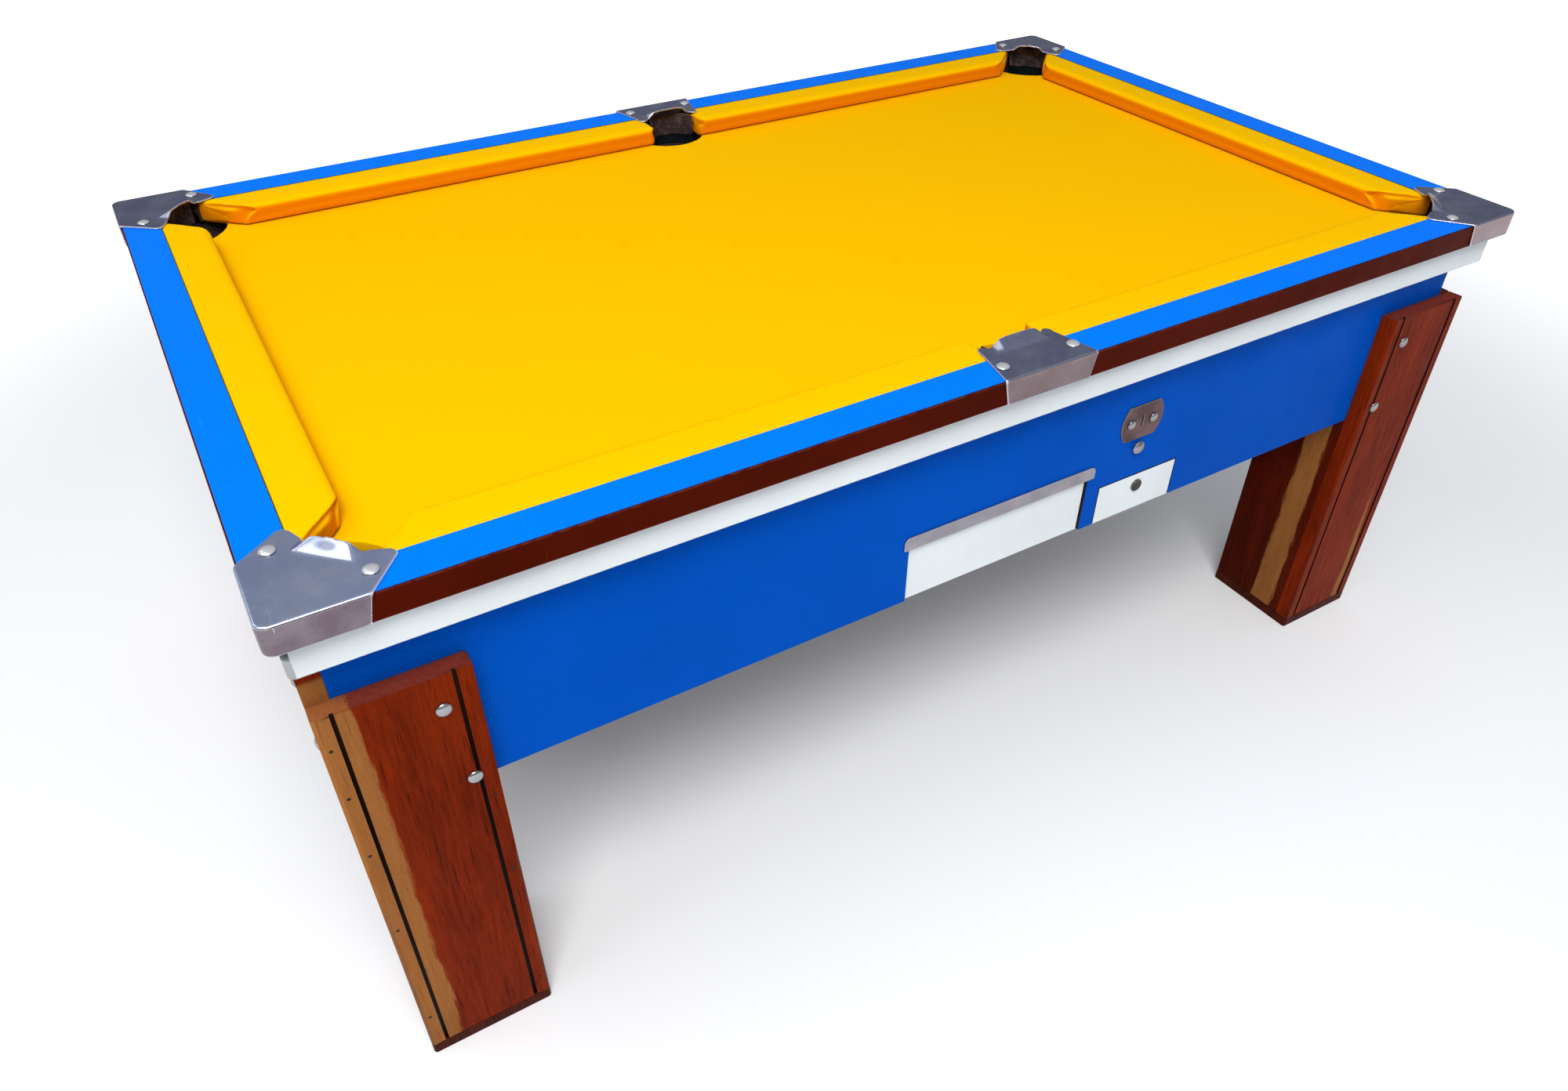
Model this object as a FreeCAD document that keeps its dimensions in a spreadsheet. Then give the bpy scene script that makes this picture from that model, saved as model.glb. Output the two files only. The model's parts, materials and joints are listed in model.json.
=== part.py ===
import FreeCAD, Part
import math
import os
import types

import Sketcher

# Token-operated bar pool table, in millimetres.
# The origin is on the floor under the middle of the table. +X runs along the
# table, -Y is the front with the ball drawer and +Z is up.

SIZES = {
    # whole table
    "table_length": 1964,
    "table_width": 1200,
    "table_height": 845,
    # clearances
    "fit_gap": 0.3,
    "pin_gap": 0.05,
    "overcut": 2,
    # rails and bed
    "rail_thickness": 36,
    "rail_width": 55,
    "rail_sheet": 1.5,
    "sheet_inset": 2.5,
    "slab_thickness": 25,
    "cloth_thickness": 1,
    # cushions
    "cushion_width": 66,
    "cushion_crown": 1.6,
    "cushion_nose_height": 26,
    "cushion_nose_radius": 9,
    "cushion_nose_round": 7,
    "cushion_undercut": 9,
    "cushion_corner_radius": 30,
    "cushion_side_radius": 8,
    # pockets
    "long_throat": 46,
    "end_throat": 39,
    "side_mouth": 96,
    "pocket_inset": 93,
    "liner_radius": 45,
    "liner_wall": 3,
    "liner_drop": 60.4,
    "bed_scoop_inset": 70,
    "corner_scoop_radius": 96,
    "side_scoop_radius": 68,
    # pocket caps
    "cap_sheet": 3,
    "cap_corner_radius": 14,
    "cap_edge_round": 2.5,
    "cap_skirt_taper": 8,
    "corner_cap_reach": 109,
    "corner_ear_distance": 139,
    "corner_ear_half": 72,
    "corner_tip_distance": 143,
    "corner_tip_half": 57,
    "corner_mouth_distance": 132,
    "corner_crease_distance": 112,
    "corner_hood_rise": 11.5,
    "side_cap_half": 78,
    "side_ear_distance": 70,
    "side_ear_half": 62,
    "side_tip_distance": 83,
    "side_tip_half": 53,
    "side_ear_round": 10,
    "side_ear_inner_half": 47,
    "side_mouth_distance": 75,
    "side_crease_distance": 57,
    "side_hood_rise": 13.5,
    "side_crease_half": 46,
    "side_hood_half": 43,
    "side_hood_top_half": 30,
    "ear_round": 13,
    "ear_inner_half": 41,
    "ear_inner_step": 4.5,
    "crease_half": 38,
    "hood_half": 35,
    "hood_top_half": 22,
    "hood_crown": 2,
    "rivet_along": 117,
    "rivet_depth": 33,
    "side_rivet_half": 59,
    "side_rivet_depth": 28,
    "rivet_head_radius": 9.5,
    "rivet_head_height": 4,
    "rivet_radius": 3,
    "rivet_length": 22,
    # skirt and cabinet
    "cabinet_inset_end": 41,
    "cabinet_inset_side": 47,
    "skirt_thickness": 31,
    "skirt_height": 51,
    "skirt_corner": 9,
    "apron_thickness": 18,
    "apron_height": 302,
    "floor_thickness": 9,
    "beam_width": 45,
    "beam_height": 70,
    "beam_spacing": 840,
    # legs
    "leg_width": 177,
    "leg_depth": 183,
    "leg_board": 27,
    "leg_drop": 155,
    "leg_edge_round": 5,
    "foot_thickness": 20,
    "groove_inset": 20,
    "groove_width": 4.5,
    "groove_depth": 4,
    # leg bolts
    "bolt_radius": 4,
    "bolt_head_radius": 10,
    "bolt_head_height": 5,
    "bolt_tail": 10,
    "bolt_high_inset": 134,
    "bolt_high_drop": 206,
    "bolt_low_inset": 149,
    "bolt_low_drop": 330,
    "nut_radius": 7.5,
    "nut_height": 6.5,
    # ball drawer
    "drawer_centre": -4,
    "drawer_opening": 332,
    "drawer_opening_height": 107,
    "drawer_front_height": 100,
    "drawer_front_thickness": 12,
    "drawer_recess": 4,
    "drawer_side_gap": 2,
    "pull_overlap": 10,
    "pull_height": 22,
    "pull_lip": 3,
    "pull_sheet": 2.5,
    "pull_corner": 10,
    "tray_inset": 8,
    "tray_board": 8,
    "tray_height": 64,
    "tray_depth": 292,
    "runner_width": 12,
    "runner_height": 20,
    "strike_height": 5,
    "strike_depth": 10,
    # coin door
    "door_centre": 272.5,
    "door_width": 161,
    "door_height": 69,
    "door_thickness": 15,
    "door_gap": 2,
    "lock_height": 47,
    "lock_radius": 8,
    "lock_head_radius": 10.5,
    "lock_head": 2.5,
    "cam_length": 32,
    "cam_width": 12,
    "cam_thickness": 2,
    "key_width": 1.6,
    "hinge_length": 115,
    "hinge_leaf": 1.2,
    "hinge_leaf_width": 14,
    "hinge_barrel_radius": 2.4,
    "hinge_pin_radius": 1.2,
    "hinge_setback": 1.5,
    # token entry
    "token_x": 252.5,
    "token_drop": 189.5,
    "plate_width": 83,
    "plate_height": 61,
    "plate_flat": 60,
    "plate_sheet": 2,
    "slot_width": 3,
    "slot_height": 24,
    "plate_bolt_half": 22.5,
    "plate_bolt_radius": 3,
    "plate_bolt_head": 8,
    "plate_bolt_rise": 4,
    "chute_slope": 35,
    "chute_width": 18,
    "chute_depth": 20,
    "chute_sheet": 1.5,
    "chute_length": 122,
    "coin_box_depth": 130,
    "coin_box_height": 52,
    "coin_box_board": 6,
    # push button and drawer catch
    "button_drop": 235,
    "button_head_radius": 11,
    "button_head_height": 5,
    "button_travel": 6,
    "plunger_radius": 5,
    "collar_radius": 9,
    "collar_thickness": 3,
    "spring_length": 22,
    "spring_radius": 7,
    "spring_wire": 0.7,
    "spring_turns": 6,
    "seat_thickness": 3,
    "catch_lift": 25,
    "catch_shaft_radius": 4,
    "catch_arm": 4,
    "catch_arm_width": 12,
    "catch_reach": 52,
    "catch_hook": 6,
    "bracket_sheet": 3,
    "bracket_left": 236,
    "bracket_right": 320,
    # ball ramps
    "ramp_board": 9,
    "ramp_nut_gap": 4,
    "ramp_inner": 150,
    "ramp_rise": 112,
    "ramp_lap": 85,
    "ramp_landing": 125,
    "centre_fall": 22,
    "centre_rise": 75,
    "centre_lap": 10,
    "bearer_width": 18,
    "guide_height": 60,
}

doc = FreeCAD.newDocument("pool_table")
sheet = doc.addObject("Spreadsheet::Sheet", "Sizes")
for row, (name, value) in enumerate(SIZES.items(), start=1):
    sheet.set(f"A{row}", name)
    sheet.set(f"B{row}", str(value))
    sheet.setAlias(f"B{row}", name)
doc.recompute()

nodes = []
V = FreeCAD.Vector
ROOT_TWO = math.sqrt(2)


class Size:
    """A length that keeps its formula, so that what is worked out from it stays bound to the sheet."""

    def __init__(self, text, value):
        self.text = text
        self.value = value

    def __add__(self, other):
        return joined(self, "+", other)

    def __radd__(self, other):
        return joined(other, "+", self)

    def __sub__(self, other):
        return joined(self, "-", other)

    def __rsub__(self, other):
        return joined(other, "-", self)

    def __mul__(self, other):
        return joined(self, "*", other)

    def __rmul__(self, other):
        return joined(other, "*", self)

    def __truediv__(self, other):
        return joined(self, "/", other)

    def __rtruediv__(self, other):
        return joined(other, "/", self)

    def __neg__(self):
        return joined(0, "-", self)


def as_size(number):
    if isinstance(number, Size):
        return number
    return Size(repr(float(number)), float(number))


def joined(left, sign, right):
    left = as_size(left)
    right = as_size(right)
    results = {
        "+": lambda a, b: a + b,
        "-": lambda a, b: a - b,
        "*": lambda a, b: a * b,
        "/": lambda a, b: a / b,
    }
    return Size(f"({left.text} {sign} {right.text})", results[sign](left.value, right.value))


def cosine(angle):
    return Size(f"cos({angle.text} * 1 deg)", math.cos(math.radians(angle.value)))


def sine(angle):
    return Size(f"sin({angle.text} * 1 deg)", math.sin(math.radians(angle.value)))


def tangent(angle):
    return sine(angle) / cosine(angle)


def slope_angle(rise, run):
    """Degrees of a slope that rises so much over a level run."""
    ratio = rise / run
    return Size(f"(atan({ratio.text}) / 1 deg)", math.degrees(math.atan(ratio.value)))


def arc_radius(chord, rise):
    """Radius of the arc that stands this high over a chord."""
    return chord * chord / (8 * rise) + rise / 2


dim = types.SimpleNamespace(**{name: Size(f"Sizes.{name}", float(sheet.get(name))) for name in SIZES})


# Building blocks

def bind(item, prop, size):
    item.setExpression(prop, as_size(size).text)


def place(item, x, y, z):
    for axis, size in zip("xyz", (x, y, z)):
        bind(item, f"Placement.Base.{axis}", size)


def keep(item, name):
    """Gives a finished piece the name that its file gets."""
    item.Label = name
    nodes.append(item)
    return item


def block(name, x, y, z):
    """Board between a low and a high limit along each axis."""
    board = doc.addObject("Part::Box", name)
    for prop, (low, high) in zip(("Length", "Width", "Height"), (x, y, z)):
        bind(board, prop, high - low)
    place(board, x[0], y[0], z[0])
    return board


ALONG = {
    "x": FreeCAD.Rotation(V(0, 1, 0), 90),
    "y": FreeCAD.Rotation(V(1, 0, 0), -90),
    "z": FreeCAD.Rotation(),
}


def rod(name, axis, start, length, radius):
    """Round bar that runs from its start point along one axis."""
    bar = doc.addObject("Part::Cylinder", name)
    bar.Placement = FreeCAD.Placement(V(), ALONG[axis])
    bind(bar, "Radius", radius)
    bind(bar, "Height", length)
    place(bar, *start)
    return bar


def group(name, items):
    compound = doc.addObject("Part::Compound", name)
    compound.Links = items
    return compound


def cut(name, base, tools):
    result = doc.addObject("Part::Cut", name)
    result.Base = base
    result.Tool = tools[0] if len(tools) == 1 else group(f"{name}_tools", tools)
    return result


def fuse(name, items):
    result = doc.addObject("Part::MultiFuse", name)
    result.Shapes = items
    return result


END_TO_END = V(1, 0, 0)
FRONT_TO_BACK = V(0, 1, 0)


def mirror(name, source, normal):
    copy = doc.addObject("Part::Mirroring", name)
    copy.Source = source
    copy.Normal = normal
    return copy


def mirror_both(source):
    """The piece at the front right, then front left, back right and back left."""
    left = mirror(f"{source.Name}_left", source, END_TO_END)
    back = mirror(f"{source.Name}_back", source, FRONT_TO_BACK)
    back_left = mirror(f"{source.Name}_back_left", left, FRONT_TO_BACK)
    return [source, left, back, back_left]


CORNERS = ("front_right", "front_left", "back_right", "back_left")


def new_body(name):
    return doc.addObject("PartDesign::Body", name)


def own_plane(body, role):
    return next(plane for plane in body.Origin.OriginFeatures if plane.Role == role)


def new_sketch(body, name, plane, offset):
    sketch = body.newObject("Sketcher::SketchObject", name)
    sketch.AttachmentSupport = [(own_plane(body, plane), "")]
    sketch.MapMode = "FlatFace"
    bind(sketch, "AttachmentOffset.Base.z", offset)
    return sketch


def pin_down(sketch, kind, *where_and_size):
    *where, size = where_and_size
    index = sketch.addConstraint(Sketcher.Constraint(kind, *where, as_size(size).value))
    bind(sketch, f"Constraints[{index}]", size)


def arc_between(start, end, radius):
    """Arc of under a half circle: anticlockwise for a positive radius, clockwise for a negative one."""
    if radius < 0:
        start, end = end, start
    radius = abs(radius)
    chord = end - start
    left = V(-chord.y, chord.x, 0).normalize()
    rise = math.sqrt(max(radius ** 2 - (chord.Length / 2) ** 2, 0))
    centre = start + chord / 2 + left * rise
    angles = [math.atan2(point.y - centre.y, point.x - centre.x) for point in (start, end)]
    return Part.ArcOfCircle(Part.Circle(centre, V(0, 0, 1), radius), *angles)


START_ID = 1
END_ID = 2
ORIGIN_POINT = (-1, START_ID)


def outline(body, name, plane, corners, offset=0):
    """Closed outline. A corner is (x, y), or (x, y, radius) where an arc leads to the next corner."""
    sketch = new_sketch(body, name, plane, offset)
    points = [V(as_size(corner[0]).value, as_size(corner[1]).value, 0) for corner in corners]
    edges = []
    for corner, start, end in zip(corners, points, points[1:] + points[:1]):
        if len(corner) == 2:
            edges.append((sketch.addGeometry(Part.LineSegment(start, end), False), START_ID, END_ID))
            continue
        radius = as_size(corner[2])
        index = sketch.addGeometry(arc_between(start, end, radius.value), False)
        clockwise = radius.value < 0
        edges.append((index, END_ID, START_ID) if clockwise else (index, START_ID, END_ID))
    following_edges = edges[1:] + edges[:1]
    for corner, (index, start, end), (following, next_start, _) in zip(corners, edges, following_edges):
        sketch.addConstraint(Sketcher.Constraint("Coincident", index, end, following, next_start))
        pin_down(sketch, "DistanceX", *ORIGIN_POINT, index, start, corner[0])
        pin_down(sketch, "DistanceY", *ORIGIN_POINT, index, start, corner[1])
        if len(corner) == 3:
            radius = as_size(corner[2])
            pin_down(sketch, "Radius", index, -radius if radius.value < 0 else radius)
    return sketch


def pad(body, sketch, length, backwards=False):
    feature = body.newObject("PartDesign::Pad", f"{sketch.Name}_pad")
    feature.Profile = sketch
    feature.Reversed = backwards
    bind(feature, "Length", length)
    return feature


def rounded_board(name, x, y, z, radius):
    """Upright board whose two corners at the front are rounded."""
    body = new_body(name)
    corners = [
        (x[0] + radius, y[0]),
        (x[1] - radius, y[0], radius),
        (x[1], y[0] + radius),
        (x[1], y[1]),
        (x[0], y[1]),
        (x[0], y[0] + radius, radius),
    ]
    pad(body, outline(body, f"{name}_plan", "XY_Plane", corners, z[0]), z[1] - z[0])
    return body


def pocket_through(body, sketch):
    feature = body.newObject("PartDesign::Pocket", f"{sketch.Name}_pocket")
    feature.Profile = sketch
    feature.Type = "ThroughAll"
    return feature


def loft(body, kind, first, second):
    feature = body.newObject(f"PartDesign::{kind}", f"{first.Name}_loft")
    feature.Profile = first
    feature.Sections = [second]
    feature.Ruled = True
    return feature


def revolve(body, sketch):
    feature = body.newObject("PartDesign::Revolution", f"{sketch.Name}_turn")
    feature.Profile = sketch
    feature.ReferenceAxis = (sketch, ["V_Axis"])
    return feature


def dome_fastener(name, head_radius, head_height, shank_radius, shank_length):
    """Dome head on a plain shank, standing on its own XY plane with the head upwards."""
    body = new_body(name)
    dome = arc_radius(2 * head_radius, head_height)
    corners = [
        (0, -shank_length),
        (shank_radius, -shank_length),
        (shank_radius, 0),
        (head_radius, 0, dome),
        (0, head_height),
    ]
    revolve(body, outline(body, f"{name}_half", "XZ_Plane", corners))
    return body


def turned(item, axis, angle):
    item.Placement = FreeCAD.Placement(V(), FreeCAD.Rotation(axis, angle))
    return item


def both_ways(size):
    return (-size, size)


# Levels and faces that several pieces share

half_length = dim.table_length / 2
half_width = dim.table_width / 2
rail_top = dim.table_height
bed_top = rail_top - dim.rail_thickness
cloth_top = bed_top + dim.cloth_thickness
slab_bottom = bed_top - dim.slab_thickness
skirt_bottom = bed_top - dim.skirt_height
apron_bottom = slab_bottom - dim.apron_height
floor_top = apron_bottom + dim.floor_thickness
rail_inner_x = half_length - dim.rail_width
rail_inner_y = half_width - dim.rail_width
cabinet_x = half_length - dim.cabinet_inset_end
cabinet_y = half_width - dim.cabinet_inset_side
inside_x = cabinet_x - dim.apron_thickness
inside_y = cabinet_y - dim.apron_thickness
front_face = -cabinet_y
front_inside = -inside_y
corner_pocket = (half_length - dim.pocket_inset, dim.pocket_inset - half_width)
side_pocket = (Size("0", 0.0), dim.pocket_inset - half_width)


# Bed slab and cloth, scooped out at the six pockets

def scooped_board(name, half_x, half_y, low, high):
    blank = block(f"{name}_blank", both_ways(half_x), both_ways(half_y), (low, high))
    start_z = low - dim.overcut
    length = high - low + 2 * dim.overcut
    scoop_y = dim.bed_scoop_inset - half_width
    corner_start = (half_length - dim.bed_scoop_inset, scoop_y, start_z)
    corner = rod(f"{name}_corner_scoop", "z", corner_start, length, dim.corner_scoop_radius)
    side = rod(f"{name}_side_scoop", "z", (0, scoop_y, start_z), length, dim.side_scoop_radius)
    side_back = mirror(f"{name}_side_scoop_back", side, FRONT_TO_BACK)
    return keep(cut(name, blank, mirror_both(corner) + [side, side_back]), name)


scooped_board("bed_slab", cabinet_x, cabinet_y, slab_bottom, bed_top)
scooped_board("bed_cloth", rail_inner_x, rail_inner_y, bed_top, cloth_top)


# Rails with their laminate tops, cut back round the pocket liners

rail_corner_radius = dim.cap_corner_radius - dim.cap_sheet - dim.fit_gap
sheet_bottom = rail_top - dim.rail_sheet
corner_rivets = [
    (half_length - dim.rivet_along, dim.rivet_depth - half_width),
    (half_length - dim.rivet_depth, dim.rivet_along - half_width),
]
side_rivet = (dim.side_rivet_half, dim.side_rivet_depth - half_width)
rivet_hole_radius = dim.rivet_radius + dim.pin_gap


def rivet_hole(name, spot):
    start = (spot[0], spot[1], rail_top - dim.rivet_length - dim.overcut)
    length = dim.rivet_length + dim.cap_sheet + 2 * dim.overcut
    return rod(name, "z", start, length, rivet_hole_radius)


def liner_room(name, centre):
    start = (centre[0], centre[1], bed_top - dim.overcut)
    length = dim.rail_thickness + 2 * dim.overcut
    return rod(name, "z", start, length, dim.liner_radius + dim.fit_gap)


def long_rail(name, low, high, inset=0):
    width = both_ways(half_length - inset)
    depth = (inset - half_width, -rail_inner_y)
    blank = rounded_board(f"{name}_blank", width, depth, (low, high), rail_corner_radius - inset)
    right = [
        liner_room(f"{name}_corner_room", corner_pocket),
        rivet_hole(f"{name}_corner_hole", corner_rivets[0]),
        rivet_hole(f"{name}_side_hole", side_rivet),
    ]
    left = [mirror(f"{tool.Name}_left", tool, END_TO_END) for tool in right]
    return cut(name, blank, right + left + [liner_room(f"{name}_side_room", side_pocket)])


def end_rail(name, low, high, inset=0):
    width = (rail_inner_x, half_length - inset)
    blank = block(f"{name}_blank", width, both_ways(rail_inner_y), (low, high))
    front = [
        liner_room(f"{name}_corner_room", corner_pocket),
        rivet_hole(f"{name}_corner_hole", corner_rivets[1]),
    ]
    back = [mirror(f"{tool.Name}_back", tool, FRONT_TO_BACK) for tool in front]
    return cut(name, blank, front + back)


front_rail = keep(long_rail("rail_front", bed_top, sheet_bottom), "rail_front")
keep(mirror("rail_back", front_rail, FRONT_TO_BACK), "rail_back")
right_rail = keep(end_rail("rail_right", bed_top, sheet_bottom), "rail_right")
keep(mirror("rail_left", right_rail, END_TO_END), "rail_left")

front_sheet = long_rail("rail_sheet_front", sheet_bottom, rail_top, dim.sheet_inset)
right_sheet = end_rail("rail_sheet_right", sheet_bottom, rail_top, dim.sheet_inset)
back_sheet = mirror("rail_sheet_back", front_sheet, FRONT_TO_BACK)
left_sheet = mirror("rail_sheet_left", right_sheet, END_TO_END)
keep(group("rail_tops", [front_sheet, back_sheet, right_sheet, left_sheet]), "rail_tops")


# Cushions: crowned top, rounded nose, drawn-in face, ends cut along the pocket throats

cushion_height = dim.rail_thickness - dim.cloth_thickness - dim.fit_gap
plan_width = dim.cushion_width + dim.overcut
corner_tangent = dim.cushion_corner_radius * (ROOT_TWO - 1)


def cushion_waste():
    """Everything outside the cushion's profile, as depth from the rail and height from the cloth."""
    edge_height = cushion_height - dim.cushion_crown
    crown_end = dim.cushion_width - dim.cushion_nose_round
    crown_radius = arc_radius(crown_end + dim.overcut, dim.cushion_crown)
    foot = dim.cushion_width - dim.cushion_undercut
    outside = dim.cushion_width + 10 * dim.overcut
    above = cushion_height + 10 * dim.overcut
    return [
        (-dim.overcut, edge_height, -crown_radius),
        (crown_end, edge_height, -dim.cushion_nose_radius),
        (dim.cushion_width, dim.cushion_nose_height),
        (foot, 0),
        (foot, -dim.overcut),
        (outside, -dim.overcut),
        (outside, above),
        (-dim.overcut, above),
    ]


def throat_end(back_end):
    """Corners of a cushion's pocket end, with the nose rounded and a little waste outside it."""
    nose = back_end - plan_width
    step = corner_tangent / ROOT_TWO
    return [
        (back_end, 0),
        (nose + step, plan_width - step, dim.cushion_corner_radius),
        (nose - corner_tangent, plan_width),
    ]


def cushion(name, corners, far_end):
    body = new_body(name)
    pad(body, outline(body, f"{name}_plan", "XY_Plane", corners), cushion_height)
    waste = outline(body, f"{name}_waste", "YZ_Plane", cushion_waste(), far_end + dim.overcut)
    pocket_through(body, waste)
    return body


side_end = dim.side_mouth / 2
side_radius = dim.cushion_side_radius
long_end = rail_inner_x - dim.long_throat * ROOT_TWO
long_corners = throat_end(long_end) + [
    (side_end + side_radius, plan_width, side_radius),
    (side_end, plan_width - side_radius),
    (side_end, 0),
]
long_cushion = cushion("cushion_front_right", long_corners, long_end)
place(long_cushion, 0, -rail_inner_y, cloth_top)
for corner_name, piece in zip(CORNERS, mirror_both(long_cushion)):
    keep(piece, f"cushion_{corner_name}")

short_end = rail_inner_y - dim.end_throat * ROOT_TWO
short_right = throat_end(short_end)
back_corner, round_start, round_end = short_right
short_left = [
    (-round_end[0], round_end[1], dim.cushion_corner_radius),
    (-round_start[0], round_start[1]),
    (-back_corner[0], back_corner[1]),
]
end_cushion = turned(cushion("cushion_right", short_right + short_left, short_end), V(0, 0, 1), 90)
place(end_cushion, rail_inner_x, 0, cloth_top)
keep(end_cushion, "cushion_right")
keep(mirror("cushion_left", end_cushion, END_TO_END), "cushion_left")


# Pocket caps: flat casting over the rails, skirt down their edges, raised hood over the mouth

skirt_out = dim.cap_sheet + dim.fit_gap


def hood_section(half, top_half, low, shoulder, top, crown):
    """Slice across a hood: straight sides that lean in under a slightly arched roof."""
    return [
        (-half, low),
        (half, low),
        (half, shoulder),
        (top_half, top - crown, arc_radius(2 * top_half, crown)),
        (-top_half, top - crown),
        (-half, shoulder),
    ]


def add_hood(body, name, mouth, crease, rise, half, top_half, crease_half):
    """Sloping roof that rises from the crease to the mouth, then the hollow under it."""
    thin = dim.pin_gap
    skin = dim.cap_sheet
    roof = hood_section(half, top_half, 0, skin, skin + rise, dim.hood_crown)
    foot = hood_section(crease_half, crease_half - skin, 0, skin, skin + 2 * thin, thin)
    roof_edge = outline(body, f"{name}_roof", "XZ_Plane", roof, -mouth)
    crease_line = outline(body, f"{name}_crease", "XZ_Plane", foot, -crease)
    loft(body, "AdditiveLoft", roof_edge, crease_line)
    hollow_half = half - skin
    hollow_top = top_half - skin / 2
    hollow = hood_section(hollow_half, hollow_top, -dim.overcut, 0, rise, dim.hood_crown)
    shallow = hood_section(hollow_half, hollow_half - skin, -dim.overcut, 0, 2 * thin, thin)
    hollow_front = outline(body, f"{name}_hollow", "XZ_Plane", hollow, -(mouth + dim.overcut))
    hollow_back = outline(body, f"{name}_hollow_end", "XZ_Plane", shallow, -(crease + 2 * skin))
    loft(body, "SubtractiveLoft", hollow_front, hollow_back)


def round_fold(body, feature, on_fold):
    """Rounds the fold between a cap's top and its skirt; on_fold picks the edges there by their middle."""
    doc.recompute()
    names = []
    for index, edge in enumerate(feature.Shape.Edges, start=1):
        middle = edge.valueAt((edge.FirstParameter + edge.LastParameter) / 2)
        if on_fold(middle) and abs(middle.z - dim.cap_sheet.value) < edge.Length / 1000:
            names.append(f"Edge{index}")
    fillet = body.newObject("PartDesign::Fillet", f"{body.Name}_fold")
    fillet.Base = (feature, names)
    bind(fillet, "Radius", dim.cap_edge_round)


def corner_cap(name):
    """Drawn with the outer corner of the rails at its origin and the mouth along +Y."""
    body = new_body(name)
    outer_tip = -skirt_out * ROOT_TWO
    inner_tip = -dim.fit_gap * ROOT_TWO
    outer_round = dim.cap_corner_radius / ROOT_TWO
    inner_radius = dim.cap_corner_radius - dim.cap_sheet
    inner_round = inner_radius / ROOT_TWO

    def outer_edge(reach):
        end = ((reach + skirt_out) / ROOT_TWO, (reach - skirt_out) / ROOT_TWO)
        return [
            (-end[0], end[1]),
            (-outer_round, outer_tip + outer_round, dim.cap_corner_radius),
            (outer_round, outer_tip + outer_round),
            end,
        ]

    def skirt_outline(reach):
        end = ((reach + dim.fit_gap) / ROOT_TWO, (reach - dim.fit_gap) / ROOT_TWO)
        inner_edge = [
            end,
            (inner_round, inner_tip + inner_round, -inner_radius),
            (-inner_round, inner_tip + inner_round),
            (-end[0], end[1]),
        ]
        return outer_edge(reach) + inner_edge

    reach = dim.corner_cap_reach
    mouth = dim.corner_mouth_distance
    ears = [
        (dim.corner_ear_half, dim.corner_ear_distance, dim.ear_round),
        (dim.corner_tip_half, dim.corner_tip_distance),
        (dim.ear_inner_half, mouth + dim.ear_inner_step),
        (dim.hood_half, mouth),
        (-dim.hood_half, mouth),
        (-dim.ear_inner_half, mouth + dim.ear_inner_step),
        (-dim.corner_tip_half, dim.corner_tip_distance, dim.ear_round),
        (-dim.corner_ear_half, dim.corner_ear_distance),
    ]
    pad(body, outline(body, f"{name}_plan", "XY_Plane", outer_edge(reach) + ears), dim.cap_sheet)
    head = skirt_outline(reach)
    foot = skirt_outline(reach - dim.cap_skirt_taper)
    skirt_head = outline(body, f"{name}_skirt_head", "XY_Plane", head)
    skirt_foot = outline(body, f"{name}_skirt_foot", "XY_Plane", foot, -dim.rail_thickness)
    skirt = loft(body, "AdditiveLoft", skirt_head, skirt_foot)
    round_fold(body, skirt, lambda middle: middle.y < abs(middle.x) - dim.fit_gap.value)
    widths = (dim.hood_half, dim.hood_top_half, dim.crease_half)
    add_hood(body, name, mouth, dim.corner_crease_distance, dim.corner_hood_rise, *widths)
    return body


def side_cap(name):
    """Drawn with the middle of the rail's outer edge at its origin and the mouth along +Y."""
    body = new_body(name)
    half = dim.side_cap_half
    mouth = dim.side_mouth_distance
    plan = [
        (-half, -skirt_out),
        (half, -skirt_out),
        (dim.side_ear_half, dim.side_ear_distance, dim.side_ear_round),
        (dim.side_tip_half, dim.side_tip_distance),
        (dim.side_ear_inner_half, mouth + dim.ear_inner_step),
        (dim.side_hood_half, mouth),
        (-dim.side_hood_half, mouth),
        (-dim.side_ear_inner_half, mouth + dim.ear_inner_step),
        (-dim.side_tip_half, dim.side_tip_distance, dim.side_ear_round),
        (-dim.side_ear_half, dim.side_ear_distance),
    ]
    pad(body, outline(body, f"{name}_plan", "XY_Plane", plan), dim.cap_sheet)

    def skirt_outline(reach):
        return [(-reach, -skirt_out), (reach, -skirt_out), (reach, -dim.fit_gap), (-reach, -dim.fit_gap)]

    head = skirt_outline(half)
    foot = skirt_outline(half - dim.cap_skirt_taper)
    skirt_head = outline(body, f"{name}_skirt_head", "XY_Plane", head)
    skirt_foot = outline(body, f"{name}_skirt_foot", "XY_Plane", foot, -dim.rail_thickness)
    skirt = loft(body, "AdditiveLoft", skirt_head, skirt_foot)
    round_fold(body, skirt, lambda middle: middle.y < -dim.fit_gap.value)
    widths = (dim.side_hood_half, dim.side_hood_top_half, dim.side_crease_half)
    add_hood(body, name, mouth, dim.side_crease_distance, dim.side_hood_rise, *widths)
    return body


corner_blank = turned(corner_cap("corner_cap_blank"), V(0, 0, 1), 45)
place(corner_blank, half_length, -half_width, rail_top)
corner_holes = [rivet_hole(f"corner_cap_hole_{i}", spot) for i, spot in enumerate(corner_rivets)]
first_corner_cap = cut("corner_cap", corner_blank, corner_holes)
for corner_name, piece in zip(CORNERS, mirror_both(first_corner_cap)):
    keep(piece, f"corner_cap_{corner_name}")

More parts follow.
